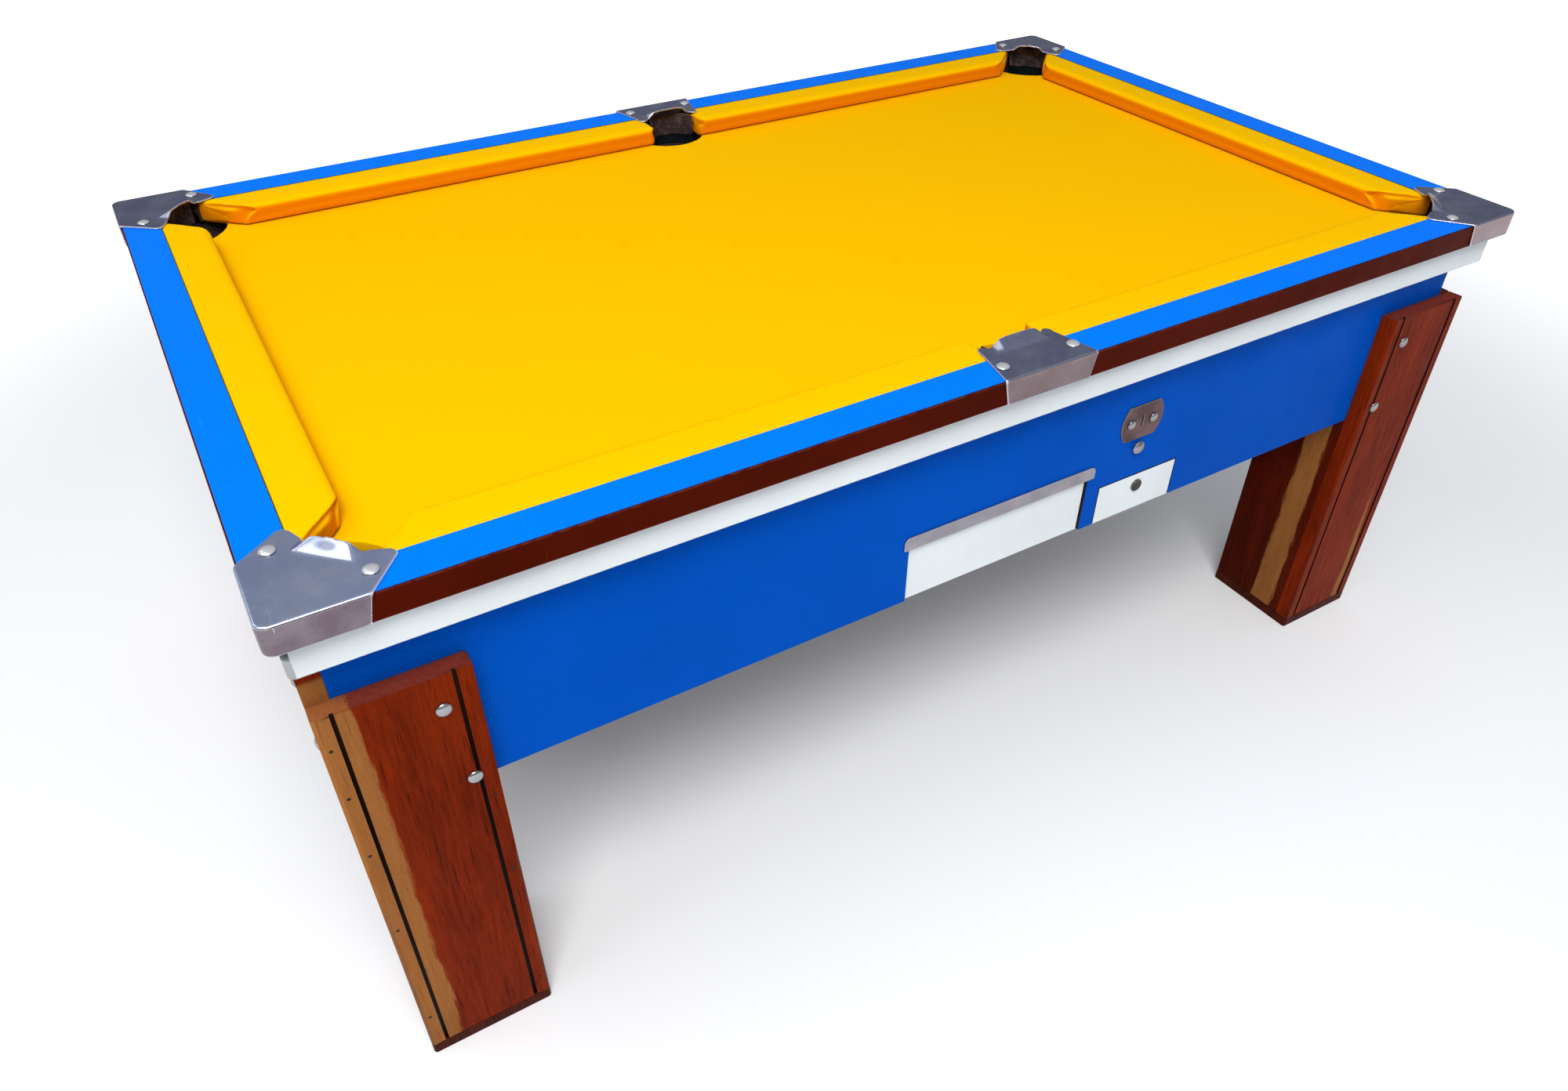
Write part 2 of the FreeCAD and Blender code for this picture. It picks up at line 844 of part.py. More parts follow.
side_blank = side_cap("side_cap_blank")
place(side_blank, 0, -half_width, rail_top)
side_hole = rivet_hole("side_cap_hole", side_rivet)
side_holes = [side_hole, mirror("side_cap_hole_left", side_hole, END_TO_END)]
front_cap = keep(cut("side_cap_front", side_blank, side_holes), "side_cap_front")
keep(mirror("side_cap_back", front_cap, FRONT_TO_BACK), "side_cap_back")

rivets = []
for index, spot in enumerate(corner_rivets + [side_rivet]):
    rivet_shank = dim.rivet_length + dim.cap_sheet
    rivet = dome_fastener(
        f"cap_rivet_{index}", dim.rivet_head_radius, dim.rivet_head_height, dim.rivet_radius, rivet_shank
    )
    place(rivet, spot[0], spot[1], rail_top + dim.cap_sheet)
    rivets += mirror_both(rivet)
keep(group("cap_rivets", rivets), "cap_rivets")


# Pocket liners: half rings of leather held in the rails' hollows under the caps

liner_top = rail_top - dim.fit_gap
liner_bottom = rail_top - dim.liner_drop
# degrees: the way that a liner's middle faces, and how far round the pocket it reaches
FACING_FRONT = 270
FACING_CORNER = 315
SIDE_SWEEP = 180
CORNER_SWEEP = 136


def pocket_liner(name, centre, facing, sweep):
    shell = doc.addObject("Part::Cylinder", f"{name}_outside")
    shell.Angle = sweep
    turned(shell, V(0, 0, 1), facing - sweep / 2)
    bind(shell, "Radius", dim.liner_radius)
    bind(shell, "Height", liner_top - liner_bottom)
    place(shell, centre[0], centre[1], liner_bottom)
    start = (centre[0], centre[1], liner_bottom - dim.overcut)
    length = liner_top - liner_bottom + 2 * dim.overcut
    inside = rod(f"{name}_inside", "z", start, length, dim.liner_radius - dim.liner_wall)
    return cut(name, shell, [inside])


corner_liner = pocket_liner("corner_liner", corner_pocket, FACING_CORNER, CORNER_SWEEP)
keep(group("corner_pocket_liners", mirror_both(corner_liner)), "corner_pocket_liners")
side_liner = pocket_liner("side_liner", side_pocket, FACING_FRONT, SIDE_SWEEP)
side_liners = [side_liner, mirror("side_liner_back", side_liner, FRONT_TO_BACK)]
keep(group("side_pocket_liners", side_liners), "side_pocket_liners")


# White skirt boards round the bed

skirt_x = cabinet_x + dim.skirt_thickness
skirt_y = cabinet_y + dim.skirt_thickness
skirt_span = (skirt_bottom, bed_top)
skirt_front = rounded_board(
    "skirt_front", both_ways(skirt_x), (-skirt_y, -cabinet_y), skirt_span, dim.skirt_corner
)
long_skirts = [skirt_front, mirror("skirt_back", skirt_front, FRONT_TO_BACK)]
keep(group("long_skirts", long_skirts), "long_skirts")
skirt_right = block("skirt_right", (cabinet_x, skirt_x), both_ways(cabinet_y), skirt_span)
end_skirts = [skirt_right, mirror("skirt_left", skirt_right, END_TO_END)]
keep(group("end_skirts", end_skirts), "end_skirts")


# Legs: boxes of boards whose outer boards lap the cabinet's corners and are bolted to it

leg_x = cabinet_x + dim.leg_board
leg_y = cabinet_y + dim.leg_board
leg_inner_x = leg_x - dim.leg_width
leg_inner_y = leg_y - dim.leg_depth
leg_top = rail_top - dim.leg_drop
bolt_spots = [
    (dim.bolt_high_inset, rail_top - dim.bolt_high_drop),
    (dim.bolt_low_inset, rail_top - dim.bolt_low_drop),
]
bolt_length = dim.leg_board + dim.apron_thickness + dim.bolt_tail
hole_radius = dim.bolt_radius + dim.pin_gap


def bolt_holes(name, axis):
    """Holes through a leg's outer board and the apron behind it, at the front right corner."""
    holes = []
    for index, (inset, height) in enumerate(bolt_spots):
        if axis == "y":
            start = (leg_x - inset, -(leg_y + dim.overcut), height)
        else:
            start = (inside_x - dim.overcut, inset - leg_y, height)
        length = dim.leg_board + dim.apron_thickness + 2 * dim.overcut
        holes.append(rod(f"{name}_{index}", axis, start, length, hole_radius))
    return holes


def grooves(name, axis, width, top):
    """Two dark lines run down the face of a board."""
    cuts = []
    heights = (dim.foot_thickness - dim.overcut, top + dim.overcut)
    for index, inset in enumerate((dim.groove_inset, width - dim.groove_inset - dim.groove_width)):
        deep = leg_y - dim.groove_depth
        if axis == "y":
            across = (leg_x - inset - dim.groove_width, leg_x - inset)
            cuts.append(block(f"{name}_{index}", across, (-(leg_y + dim.overcut), -deep), heights))
        else:
            across = (inset - leg_y, inset + dim.groove_width - leg_y)
            outside = (leg_x - dim.groove_depth, leg_x + dim.overcut)
            cuts.append(block(f"{name}_{index}", outside, across, heights))
    return cuts


face_blank = rounded_board(
    "leg_face_blank",
    (leg_inner_x, leg_x),
    (-leg_y, -cabinet_y),
    (dim.foot_thickness, leg_top),
    dim.leg_edge_round,
)
face_cuts = bolt_holes("leg_face_hole", "y") + grooves("leg_face_groove", "y", dim.leg_width, leg_top)
leg_face = cut("leg_face", face_blank, face_cuts)
for corner_name, piece in zip(CORNERS, mirror_both(leg_face)):
    keep(piece, f"leg_{corner_name}_face")


def leg_box(name, outer_top):
    """The three boards behind a leg's face, at the front right."""
    behind = (-cabinet_y, -leg_inner_y)
    heights = (dim.foot_thickness, apron_bottom)
    outer = block(f"{name}_outer_blank", (cabinet_x, leg_x), behind, (dim.foot_thickness, outer_top))
    outer_cuts = bolt_holes(f"{name}_hole", "x") + grooves(f"{name}_groove", "x", dim.leg_depth, outer_top)
    outer = cut(f"{name}_outer", outer, outer_cuts)
    inner_edge = leg_inner_x + dim.leg_board
    inner = block(f"{name}_inner", (leg_inner_x, inner_edge), behind, heights)
    back_span = (-(leg_inner_y + dim.leg_board), -leg_inner_y)
    back = block(f"{name}_back_board", (inner_edge, cabinet_x), back_span, heights)
    return group(name, [outer, inner, back])


# at the left end of the table the outer boards rise to the skirt
right_box = leg_box("leg_box_right", leg_top)
left_box = mirror("leg_box_left", leg_box("leg_box_tall", skirt_bottom), END_TO_END)
for end_name, box in (("right", right_box), ("left", left_box)):
    keep(box, f"leg_front_{end_name}_box")
    keep(mirror(f"leg_box_back_{end_name}", box, FRONT_TO_BACK), f"leg_back_{end_name}_box")

foot = rounded_board(
    "leg_foot",
    (leg_inner_x, leg_x),
    (-leg_y, -leg_inner_y),
    (Size("0", 0.0), dim.foot_thickness),
    dim.leg_edge_round,
)
keep(group("leg_feet", mirror_both(foot)), "leg_feet")

bolts = []
nuts = []
for index, (inset, height) in enumerate(bolt_spots):
    for axis in "yx":
        bolt = dome_fastener(
            f"leg_bolt_{axis}_{index}",
            dim.bolt_head_radius,
            dim.bolt_head_height,
            dim.bolt_radius,
            bolt_length,
        )
        blank = doc.addObject("Part::Prism", f"leg_nut_blank_{axis}_{index}")
        blank.Polygon = 6
        bind(blank, "Circumradius", dim.nut_radius)
        bind(blank, "Height", dim.nut_height)
        blank.Placement = FreeCAD.Placement(V(), ALONG[axis])
        if axis == "y":
            turned(bolt, V(1, 0, 0), 90)
            place(bolt, leg_x - inset, -leg_y, height)
            place(blank, leg_x - inset, front_inside, height)
            bore_start = (leg_x - inset, front_inside - dim.overcut, height)
        else:
            turned(bolt, V(0, 1, 0), 90)
            place(bolt, leg_x, inset - leg_y, height)
            place(blank, inside_x - dim.nut_height, inset - leg_y, height)
            bore_start = (inside_x - dim.nut_height - dim.overcut, inset - leg_y, height)
        bore_length = dim.nut_height + 2 * dim.overcut
        bore = rod(f"leg_nut_bore_{axis}_{index}", axis, bore_start, bore_length, hole_radius)
        bolts += mirror_both(bolt)
        nuts += mirror_both(cut(f"leg_nut_{axis}_{index}", blank, [bore]))
keep(group("leg_nuts", nuts), "leg_nuts")


# Cabinet: blue aprons, floor and the beams under the bed

drawer_left = dim.drawer_centre - dim.drawer_opening / 2
drawer_right = dim.drawer_centre + dim.drawer_opening / 2
door_left = dim.door_centre - dim.door_width / 2
door_right = dim.door_centre + dim.door_width / 2
token_z = rail_top - dim.token_drop
button_z = rail_top - dim.button_drop
through_front = (front_face - dim.overcut, front_inside + dim.overcut)
through_length = dim.apron_thickness + 2 * dim.overcut
below = apron_bottom - dim.overcut
slot_x = (dim.token_x - dim.slot_width / 2, dim.token_x + dim.slot_width / 2)
slot_z = (token_z - dim.slot_height / 2, token_z + dim.slot_height / 2)
plate_bolt_xs = [dim.token_x - dim.plate_bolt_half, dim.token_x + dim.plate_bolt_half]

apron_span = (apron_bottom, slab_bottom)
apron_blank = block("apron_blank", both_ways(cabinet_x), (front_face, front_inside), apron_span)
leg_holes = bolt_holes("apron_leg_hole", "y")
leg_holes += [mirror(f"{hole.Name}_left", hole, END_TO_END) for hole in leg_holes]
drawer_hole = block(
    "apron_drawer_hole",
    (drawer_left, drawer_right),
    through_front,
    (below, apron_bottom + dim.drawer_opening_height),
)
door_hole = block(
    "apron_door_hole",
    (door_left - dim.door_gap, door_right + dim.door_gap),
    through_front,
    (below, apron_bottom + dim.door_height + dim.door_gap),
)
token_slot = block("apron_token_slot", slot_x, through_front, slot_z)
button_bore = rod(
    "apron_button_bore",
    "y",
    (dim.token_x, through_front[0], button_z),
    through_length,
    dim.plunger_radius + dim.pin_gap,
)
plate_bore_radius = dim.plate_bolt_radius + dim.pin_gap
plate_bores = [
    rod(f"apron_plate_bore_{i}", "y", (x, through_front[0], token_z), through_length, plate_bore_radius)
    for i, x in enumerate(plate_bolt_xs)
]
front_cuts = leg_holes + plate_bores + [drawer_hole, door_hole, token_slot, button_bore]
keep(cut("apron_front", apron_blank, front_cuts), "apron_front")

back_blank = block("apron_back_blank", both_ways(cabinet_x), (inside_y, cabinet_y), apron_span)
back_holes = [mirror(f"{hole.Name}_back", hole, FRONT_TO_BACK) for hole in leg_holes]
keep(cut("apron_back", back_blank, back_holes), "apron_back")

end_blank = block("apron_end_blank", (inside_x, cabinet_x), both_ways(inside_y), apron_span)
end_holes = bolt_holes("apron_end_hole", "x")
end_holes += [mirror(f"{hole.Name}_back", hole, FRONT_TO_BACK) for hole in end_holes]
right_apron = cut("apron_right", end_blank, end_holes)
keep(group("end_aprons", [right_apron, mirror("apron_left", right_apron, END_TO_END)]), "end_aprons")

floor_span = (apron_bottom, floor_top)
keep(block("cabinet_floor", both_ways(inside_x), both_ways(inside_y), floor_span), "cabinet_floor")

beam_edge = dim.beam_spacing / 2
beam = block(
    "bed_beam",
    (beam_edge, beam_edge + dim.beam_width),
    both_ways(inside_y),
    (slab_bottom - dim.beam_height, slab_bottom),
)
keep(group("bed_beams", [beam, mirror("bed_beam_left", beam, END_TO_END)]), "bed_beams")


# Ball drawer: recessed white front, metal pull over its top edge, open tray on the floor

drawer_face = front_face + dim.drawer_recess
drawer_back = drawer_face + dim.drawer_front_thickness
drawer_top = apron_bottom + dim.drawer_front_height
drawer_front = block(
    "drawer_front",
    (drawer_left + dim.drawer_side_gap, drawer_right - dim.drawer_side_gap),
    (drawer_face, drawer_back),
    (apron_bottom, drawer_top),
)
keep(drawer_front, "drawer_front")

pull = new_body("drawer_pull")
pull_half = dim.drawer_opening / 2 + dim.pull_overlap
pull_low = drawer_top - dim.pull_lip
pull_high = pull_low + dim.pull_height
pull_back = front_face - dim.fit_gap
pull_corners = [
    (dim.drawer_centre - pull_half, pull_low),
    (dim.drawer_centre + pull_half, pull_low),
    (dim.drawer_centre + pull_half, pull_high - dim.pull_corner, dim.pull_corner),
    (dim.drawer_centre + pull_half - dim.pull_corner, pull_high),
    (dim.drawer_centre - pull_half + dim.pull_corner, pull_high, dim.pull_corner),
    (dim.drawer_centre - pull_half, pull_high - dim.pull_corner),
]
pad(pull, outline(pull, "pull_flange", "XZ_Plane", pull_corners, -pull_back), dim.pull_sheet)
ledge_corners = [
    (drawer_left + dim.drawer_side_gap, drawer_top),
    (drawer_right - dim.drawer_side_gap, drawer_top),
    (drawer_right - dim.drawer_side_gap, drawer_top + dim.pull_sheet),
    (drawer_left + dim.drawer_side_gap, drawer_top + dim.pull_sheet),
]
ledge = outline(pull, "pull_ledge", "XZ_Plane", ledge_corners, -pull_back)
pad(pull, ledge, drawer_back - pull_back, backwards=True)
keep(pull, "drawer_pull")

tray_left = drawer_left + dim.tray_inset
tray_right = drawer_right - dim.tray_inset
tray_end = drawer_back + dim.tray_depth
tray_bottom = floor_top + dim.fit_gap
tray_floor = tray_bottom + dim.tray_board
tray_top = tray_bottom + dim.tray_height
catch_shaft_y = front_inside + dim.fit_gap + dim.collar_thickness + dim.spring_length + dim.seat_thickness
catch_shaft_y = catch_shaft_y + dim.button_travel + dim.catch_shaft_radius
hook_end = catch_shaft_y + dim.catch_reach
tray_run = (drawer_back, tray_end)
tray_walls = (tray_floor, tray_top)
left_wall = (tray_left, tray_left + dim.tray_board)
right_wall = (tray_right - dim.tray_board, tray_right)
tray_boards = [
    block("tray_bottom", (tray_left, tray_right), tray_run, (tray_bottom, tray_floor)),
    block("tray_left", left_wall, tray_run, tray_walls),
    block("tray_right", right_wall, tray_run, tray_walls),
    block("tray_end", (left_wall[1], right_wall[0]), (tray_end - dim.tray_board, tray_end), tray_walls),
    block(
        "tray_strike",
        right_wall,
        (hook_end + dim.fit_gap, hook_end + dim.fit_gap + dim.strike_depth),
        (tray_top, tray_top + dim.strike_height),
    ),
]
keep(group("drawer_tray", tray_boards), "drawer_tray")

runner_span = (floor_top, floor_top + dim.runner_height)
runner_depth = (front_inside, tray_end)
runner_left = tray_left - dim.fit_gap
runner_right = tray_right + dim.fit_gap
runners = [
    block("runner_left", (runner_left - dim.runner_width, runner_left), runner_depth, runner_span),
    block("runner_right", (runner_right, runner_right + dim.runner_width), runner_depth, runner_span),
]
keep(group("drawer_runners", runners), "drawer_runners")


# Coin door: flush panel hinged along its lower edge, with a cam lock

door_back = front_face + dim.door_thickness
lock_z = apron_bottom + dim.lock_height
lock_back = front_inside + dim.fit_gap
door_blank = block(
    "coin_door_blank",
    (door_left, door_right),
    (front_face, door_back),
    (apron_bottom, apron_bottom + dim.door_height),
)
lock_bore = rod(
    "coin_door_bore",
    "y",
    (dim.door_centre, front_face - dim.overcut, lock_z),
    dim.door_thickness + 2 * dim.overcut,
    dim.lock_radius + dim.pin_gap,
)
keep(cut("coin_door", door_blank, [lock_bore]), "coin_door")

lock_face = front_face - dim.lock_head
lock_pieces = [
    rod("lock_head", "y", (dim.door_centre, lock_face, lock_z), dim.lock_head, dim.lock_head_radius),
    rod(
        "lock_barrel",
        "y",
        (dim.door_centre, lock_face, lock_z),
        lock_back + dim.cam_thickness - lock_face,
        dim.lock_radius,
    ),
    block(
        "lock_cam",
        (dim.door_centre, dim.door_centre + dim.cam_length),
        (lock_back, lock_back + dim.cam_thickness),
        (lock_z - dim.cam_width / 2, lock_z + dim.cam_width / 2),
    ),
]
key_slot = block(
    "lock_key_slot",
    (dim.door_centre - dim.key_width / 2, dim.door_centre + dim.key_width / 2),
    (lock_face - dim.overcut, front_face),
    (lock_z - dim.lock_radius / 2, lock_z + dim.lock_radius / 2),
)
keep(cut("coin_lock", fuse("coin_lock_blank", lock_pieces), [key_slot]), "coin_lock")

hinge_y = door_back + dim.hinge_setback
hinge_z = apron_bottom - dim.hinge_barrel_radius - dim.fit_gap / 2
leaf_span = (apron_bottom - dim.hinge_leaf, apron_bottom)
knuckle = dim.hinge_length / 3
hinge_left = dim.door_centre - dim.hinge_length / 2
barrel_room = dim.hinge_barrel_radius + dim.fit_gap


def hinge_leaf(name, knuckles, side):
    """One leaf with its knuckles: side -1 lies under the door, side 1 under the cabinet floor."""
    near = hinge_y + side * barrel_room
    far = near + side * dim.hinge_leaf_width
    depth = (far, near) if side < 0 else (near, far)
    neck = (near, hinge_y) if side < 0 else (hinge_y, near)
    whole = (hinge_left, hinge_left + dim.hinge_length)
    pieces = [block(f"{name}_plate", whole, depth, leaf_span)]
    for index in knuckles:
        start = hinge_left + index * knuckle + dim.fit_gap / 2
        length = knuckle - dim.fit_gap
        pieces.append(block(f"{name}_neck_{index}", (start, start + length), neck, leaf_span))
        axis_start = (start, hinge_y, hinge_z)
        pieces.append(rod(f"{name}_barrel_{index}", "x", axis_start, length, dim.hinge_barrel_radius))
    bore_start = (hinge_left - dim.overcut, hinge_y, hinge_z)
    bore_length = dim.hinge_length + 2 * dim.overcut
    bore = rod(f"{name}_bore", "x", bore_start, bore_length, dim.hinge_pin_radius + dim.pin_gap)
    return keep(cut(name, fuse(f"{name}_blank", pieces), [bore]), name)


hinge_leaf("hinge_door_leaf", (1,), -1)
hinge_leaf("hinge_floor_leaf", (0, 2), 1)
pin_start = (hinge_left, hinge_y, hinge_z)
keep(rod("hinge_pin", "x", pin_start, dim.hinge_length, dim.hinge_pin_radius), "hinge_pin")


# Token entry: bowed plate with a slot, its bolts, the chute behind it and the coin box

plate = new_body("token_plate_blank")
plate_half = dim.plate_flat / 2
plate_rise = (dim.plate_width - dim.plate_flat) / 2
bow = arc_radius(dim.plate_height, plate_rise)
plate_corners = [
    (dim.token_x - plate_half, token_z - dim.plate_height / 2),
    (dim.token_x + plate_half, token_z - dim.plate_height / 2, bow),
    (dim.token_x + plate_half, token_z + dim.plate_height / 2),
    (dim.token_x - plate_half, token_z + dim.plate_height / 2, bow),
]
pad(plate, outline(plate, "token_plate_plan", "XZ_Plane", plate_corners, -front_face), dim.plate_sheet)
plate_room = (front_face - dim.plate_sheet - dim.overcut, front_face + dim.overcut)
plate_cuts = [block("token_plate_slot", slot_x, plate_room, slot_z)]
for index, x in enumerate(plate_bolt_xs):
    start = (x, plate_room[0], token_z)
    length = dim.plate_sheet + 2 * dim.overcut
    plate_cuts.append(rod(f"token_plate_hole_{index}", "y", start, length, plate_bore_radius))
keep(cut("token_plate", plate, plate_cuts), "token_plate")

for index, x in enumerate(plate_bolt_xs):
    bolt = dome_fastener(
        f"plate_bolt_{index}",
        dim.plate_bolt_head,
        dim.plate_bolt_rise,
        dim.plate_bolt_radius,
        dim.plate_sheet + dim.apron_thickness,
    )
    turned(bolt, V(1, 0, 0), 90)
    place(bolt, x, front_face - dim.plate_sheet, token_z)
    bolts.append(bolt)
keep(group("dome_bolts", bolts), "dome_bolts")

# the chute leans to the right, past the button's plunger; it is open to the slot and at its foot
chute_half = dim.chute_width / 2
chute_top = dim.slot_height / 2 + dim.chute_width
chute_foot = chute_top - dim.chute_length
chute_outer = new_body("token_chute")
outer_half = chute_half + dim.chute_sheet
chute_profile = [
    (-outer_half, chute_foot),
    (-chute_half, chute_foot),
    (-chute_half, chute_top - dim.chute_sheet),
    (chute_half, chute_top - dim.chute_sheet),
    (chute_half, chute_foot),
    (outer_half, chute_foot),
    (outer_half, chute_top),
    (-outer_half, chute_top),
]
walls = outline(chute_outer, "chute_walls", "XZ_Plane", chute_profile)
pad(chute_outer, walls, dim.chute_depth, backwards=True)
chute_rear = [
    (-outer_half, chute_foot),
    (outer_half, chute_foot),
    (outer_half, chute_top),
    (-outer_half, chute_top),
]
rear = outline(chute_outer, "chute_rear", "XZ_Plane", chute_rear, -dim.chute_depth)
pad(chute_outer, rear, dim.chute_sheet, backwards=True)
turned(chute_outer, V(0, -1, 0), 1)
bind(chute_outer, "Placement.Rotation.Angle", dim.chute_slope)
place(chute_outer, dim.token_x, front_inside, token_z)
keep(chute_outer, "token_chute")

coin_board = dim.coin_box_board
coin_front = lock_back + dim.cam_thickness + dim.door_gap
coin_depth = (coin_front, coin_front + dim.coin_box_depth)
coin_heights = (floor_top + coin_board, floor_top + dim.coin_box_height)
coin_boards = [
    block("coin_box_bottom", (door_left, door_right), coin_depth, (floor_top, floor_top + coin_board)),
    block("coin_box_left", (door_left, door_left + coin_board), coin_depth, coin_heights),
    block("coin_box_right", (door_right - coin_board, door_right), coin_depth, coin_heights),
    block(
        "coin_box_back",
        (door_left + coin_board, door_right - coin_board),
        (coin_depth[1] - coin_board, coin_depth[1]),
        coin_heights,
    ),
]
keep(group("coin_box", coin_boards), "coin_box")


# Push button, its return spring, and the catch that it lifts off the drawer

seat_front = front_inside + dim.fit_gap + dim.collar_thickness + dim.spring_length
plunger_end = catch_shaft_y - dim.catch_arm / 2 - dim.fit_gap
button_neck = dim.button_travel + dim.fit_gap
button_base = front_face - button_neck
collar_front = front_inside + dim.fit_gap
button_body = new_body("token_button")
button_dome = arc_radius(2 * dim.button_head_radius, dim.button_head_height)
collar_high = button_base - collar_front
collar_low = collar_high - dim.collar_thickness
button_profile = [
    (0, button_base - plunger_end),
    (dim.plunger_radius, button_base - plunger_end),
    (dim.plunger_radius, collar_low),
    (dim.collar_radius, collar_low),
    (dim.collar_radius, collar_high),
    (dim.plunger_radius, collar_high),
    (dim.plunger_radius, 0),
    (dim.button_head_radius, 0, button_dome),
    (0, dim.button_head_height),
]
revolve(button_body, outline(button_body, "button_half", "XZ_Plane", button_profile))
turned(button_body, V(1, 0, 0), 90)
place(button_body, dim.token_x, button_base, button_z)
keep(button_body, "token_button")

spring = new_body("button_spring")
wire_near = dim.spring_radius - dim.spring_wire
wire_far = dim.spring_radius + dim.spring_wire
wire_corners = [
    (wire_near, -dim.spring_wire),
    (wire_far, -dim.spring_wire),
    (wire_far, dim.spring_wire),
    (wire_near, dim.spring_wire),
]
wire = outline(spring, "spring_wire_section", "XZ_Plane", wire_corners)
coil = spring.newObject("PartDesign::AdditiveHelix", "spring_coil")
coil.Profile = wire
coil.ReferenceAxis = (wire, ["V_Axis"])
coil.Mode = "height-turns-angle"
coil_gap = dim.spring_wire + dim.fit_gap
bind(coil, "Height", dim.spring_length - 2 * coil_gap)
bind(coil, "Turns", dim.spring_turns)
turned(spring, V(1, 0, 0), -90)
place(spring, dim.token_x, collar_front + dim.collar_thickness + coil_gap, button_z)
keep(spring, "button_spring")

catch_shaft_z = button_z + dim.catch_lift
shaft_right = dim.bracket_right + dim.bracket_sheet + dim.catch_arm
hook_x = right_wall
arm_x = (dim.token_x - dim.catch_arm_width / 2, dim.token_x + dim.catch_arm_width / 2)
arm_depth = (catch_shaft_y - dim.catch_arm / 2, catch_shaft_y + dim.catch_arm / 2)
bar_heights = (catch_shaft_z - dim.catch_arm, catch_shaft_z + dim.catch_arm)
hook_low = tray_top + dim.strike_height + dim.drawer_side_gap
catch_pieces = [
    rod(
        "catch_shaft",
        "x",
        (hook_x[0], catch_shaft_y, catch_shaft_z),
        shaft_right - hook_x[0],
        dim.catch_shaft_radius,
    ),
    block("catch_push_arm", arm_x, arm_depth, (button_z - dim.plunger_radius, catch_shaft_z)),
    block("catch_bar", hook_x, (catch_shaft_y, hook_end), bar_heights),
    block("catch_hook", hook_x, (hook_end - dim.catch_hook, hook_end), (hook_low, catch_shaft_z)),
]
keep(fuse("drawer_catch", catch_pieces), "drawer_catch")

bracket_low = button_z - dim.collar_radius - dim.bracket_sheet
bracket_high = catch_shaft_z + 2 * dim.catch_shaft_radius
bracket_end = catch_shaft_y + 2 * dim.catch_shaft_radius
bracket_heights = (bracket_low, bracket_high)
bracket_depth = (front_inside, bracket_end)
left_cheek_x = (dim.bracket_left, dim.bracket_left + dim.bracket_sheet)
right_cheek_x = (dim.bracket_right, dim.bracket_right + dim.bracket_sheet)
seat_heights = (bracket_low, button_z + dim.collar_radius)
bracket_pieces = [
    block("bracket_left", left_cheek_x, bracket_depth, bracket_heights),
    block("bracket_right", right_cheek_x, bracket_depth, bracket_heights),
    block(
        "bracket_seat",
        (left_cheek_x[0], right_cheek_x[1]),
        (seat_front, seat_front + dim.seat_thickness),
        seat_heights,
    ),
]
bracket_bores = [
    rod(
        "bracket_shaft_bore",
        "x",
        (dim.bracket_left - dim.overcut, catch_shaft_y, catch_shaft_z),
        dim.bracket_right + dim.bracket_sheet - dim.bracket_left + 2 * dim.overcut,
        dim.catch_shaft_radius + dim.pin_gap,
    ),
    rod(
        "bracket_plunger_bore",
        "y",
        (dim.token_x, seat_front - dim.overcut, button_z),
        dim.seat_thickness + 2 * dim.overcut,
        dim.plunger_radius + dim.pin_gap,
    ),
]
keep(cut("catch_bracket", fuse("catch_bracket_blank", bracket_pieces), bracket_bores), "catch_bracket")


# Ball ramps: side ramps clear the leg nuts and fall to the middle, the centre ramp falls to the drawer

ramp_height = floor_top + dim.ramp_rise
nut_edge = leg_x - dim.bolt_high_inset - dim.nut_radius
nut_top = rail_top - dim.bolt_high_drop + dim.nut_radius
ramp_slope = slope_angle(nut_top + dim.ramp_nut_gap - ramp_height, nut_edge - dim.ramp_inner)
ramp_run = inside_x - dim.fit_gap - dim.ramp_inner
ramp_length = ramp_run / cosine(ramp_slope) - dim.ramp_board * tangent(ramp_slope)
ramp_edge = inside_y - dim.fit_gap
ramp_front = tray_end - dim.ramp_lap
ramp_shoulder = ramp_length - dim.ramp_landing


def tilted_ramp(body):
    turned(body, V(0, -1, 0), 1)
    bind(body, "Placement.Rotation.Angle", ramp_slope)
    place(body, dim.ramp_inner, 0, ramp_height)
    return body


side_ramp = new_body("side_ramp")
ramp_corners = [
    (0, ramp_front),
    (ramp_shoulder, -ramp_edge),
    (ramp_length, -ramp_edge),
    (ramp_length, ramp_edge),
    (0, ramp_edge),
]
pad(side_ramp, outline(side_ramp, "side_ramp_plan", "XY_Plane", ramp_corners), dim.ramp_board)
tilted_ramp(side_ramp)
keep(group("side_ramps", [side_ramp, mirror("side_ramp_left", side_ramp, END_TO_END)]), "side_ramps")

guide = new_body("ball_guide")
guide_corners = [
    (0, ramp_front),
    (ramp_shoulder, -ramp_edge),
    (ramp_shoulder, dim.ramp_board - ramp_edge),
    (0, ramp_front + dim.ramp_board),
]
guide_plan = outline(guide, "ball_guide_plan", "XY_Plane", guide_corners, dim.ramp_board)
pad(guide, guide_plan, dim.guide_height)
tilted_ramp(guide)
keep(group("ball_guides", [guide, mirror("ball_guide_left", guide, END_TO_END)]), "ball_guides")

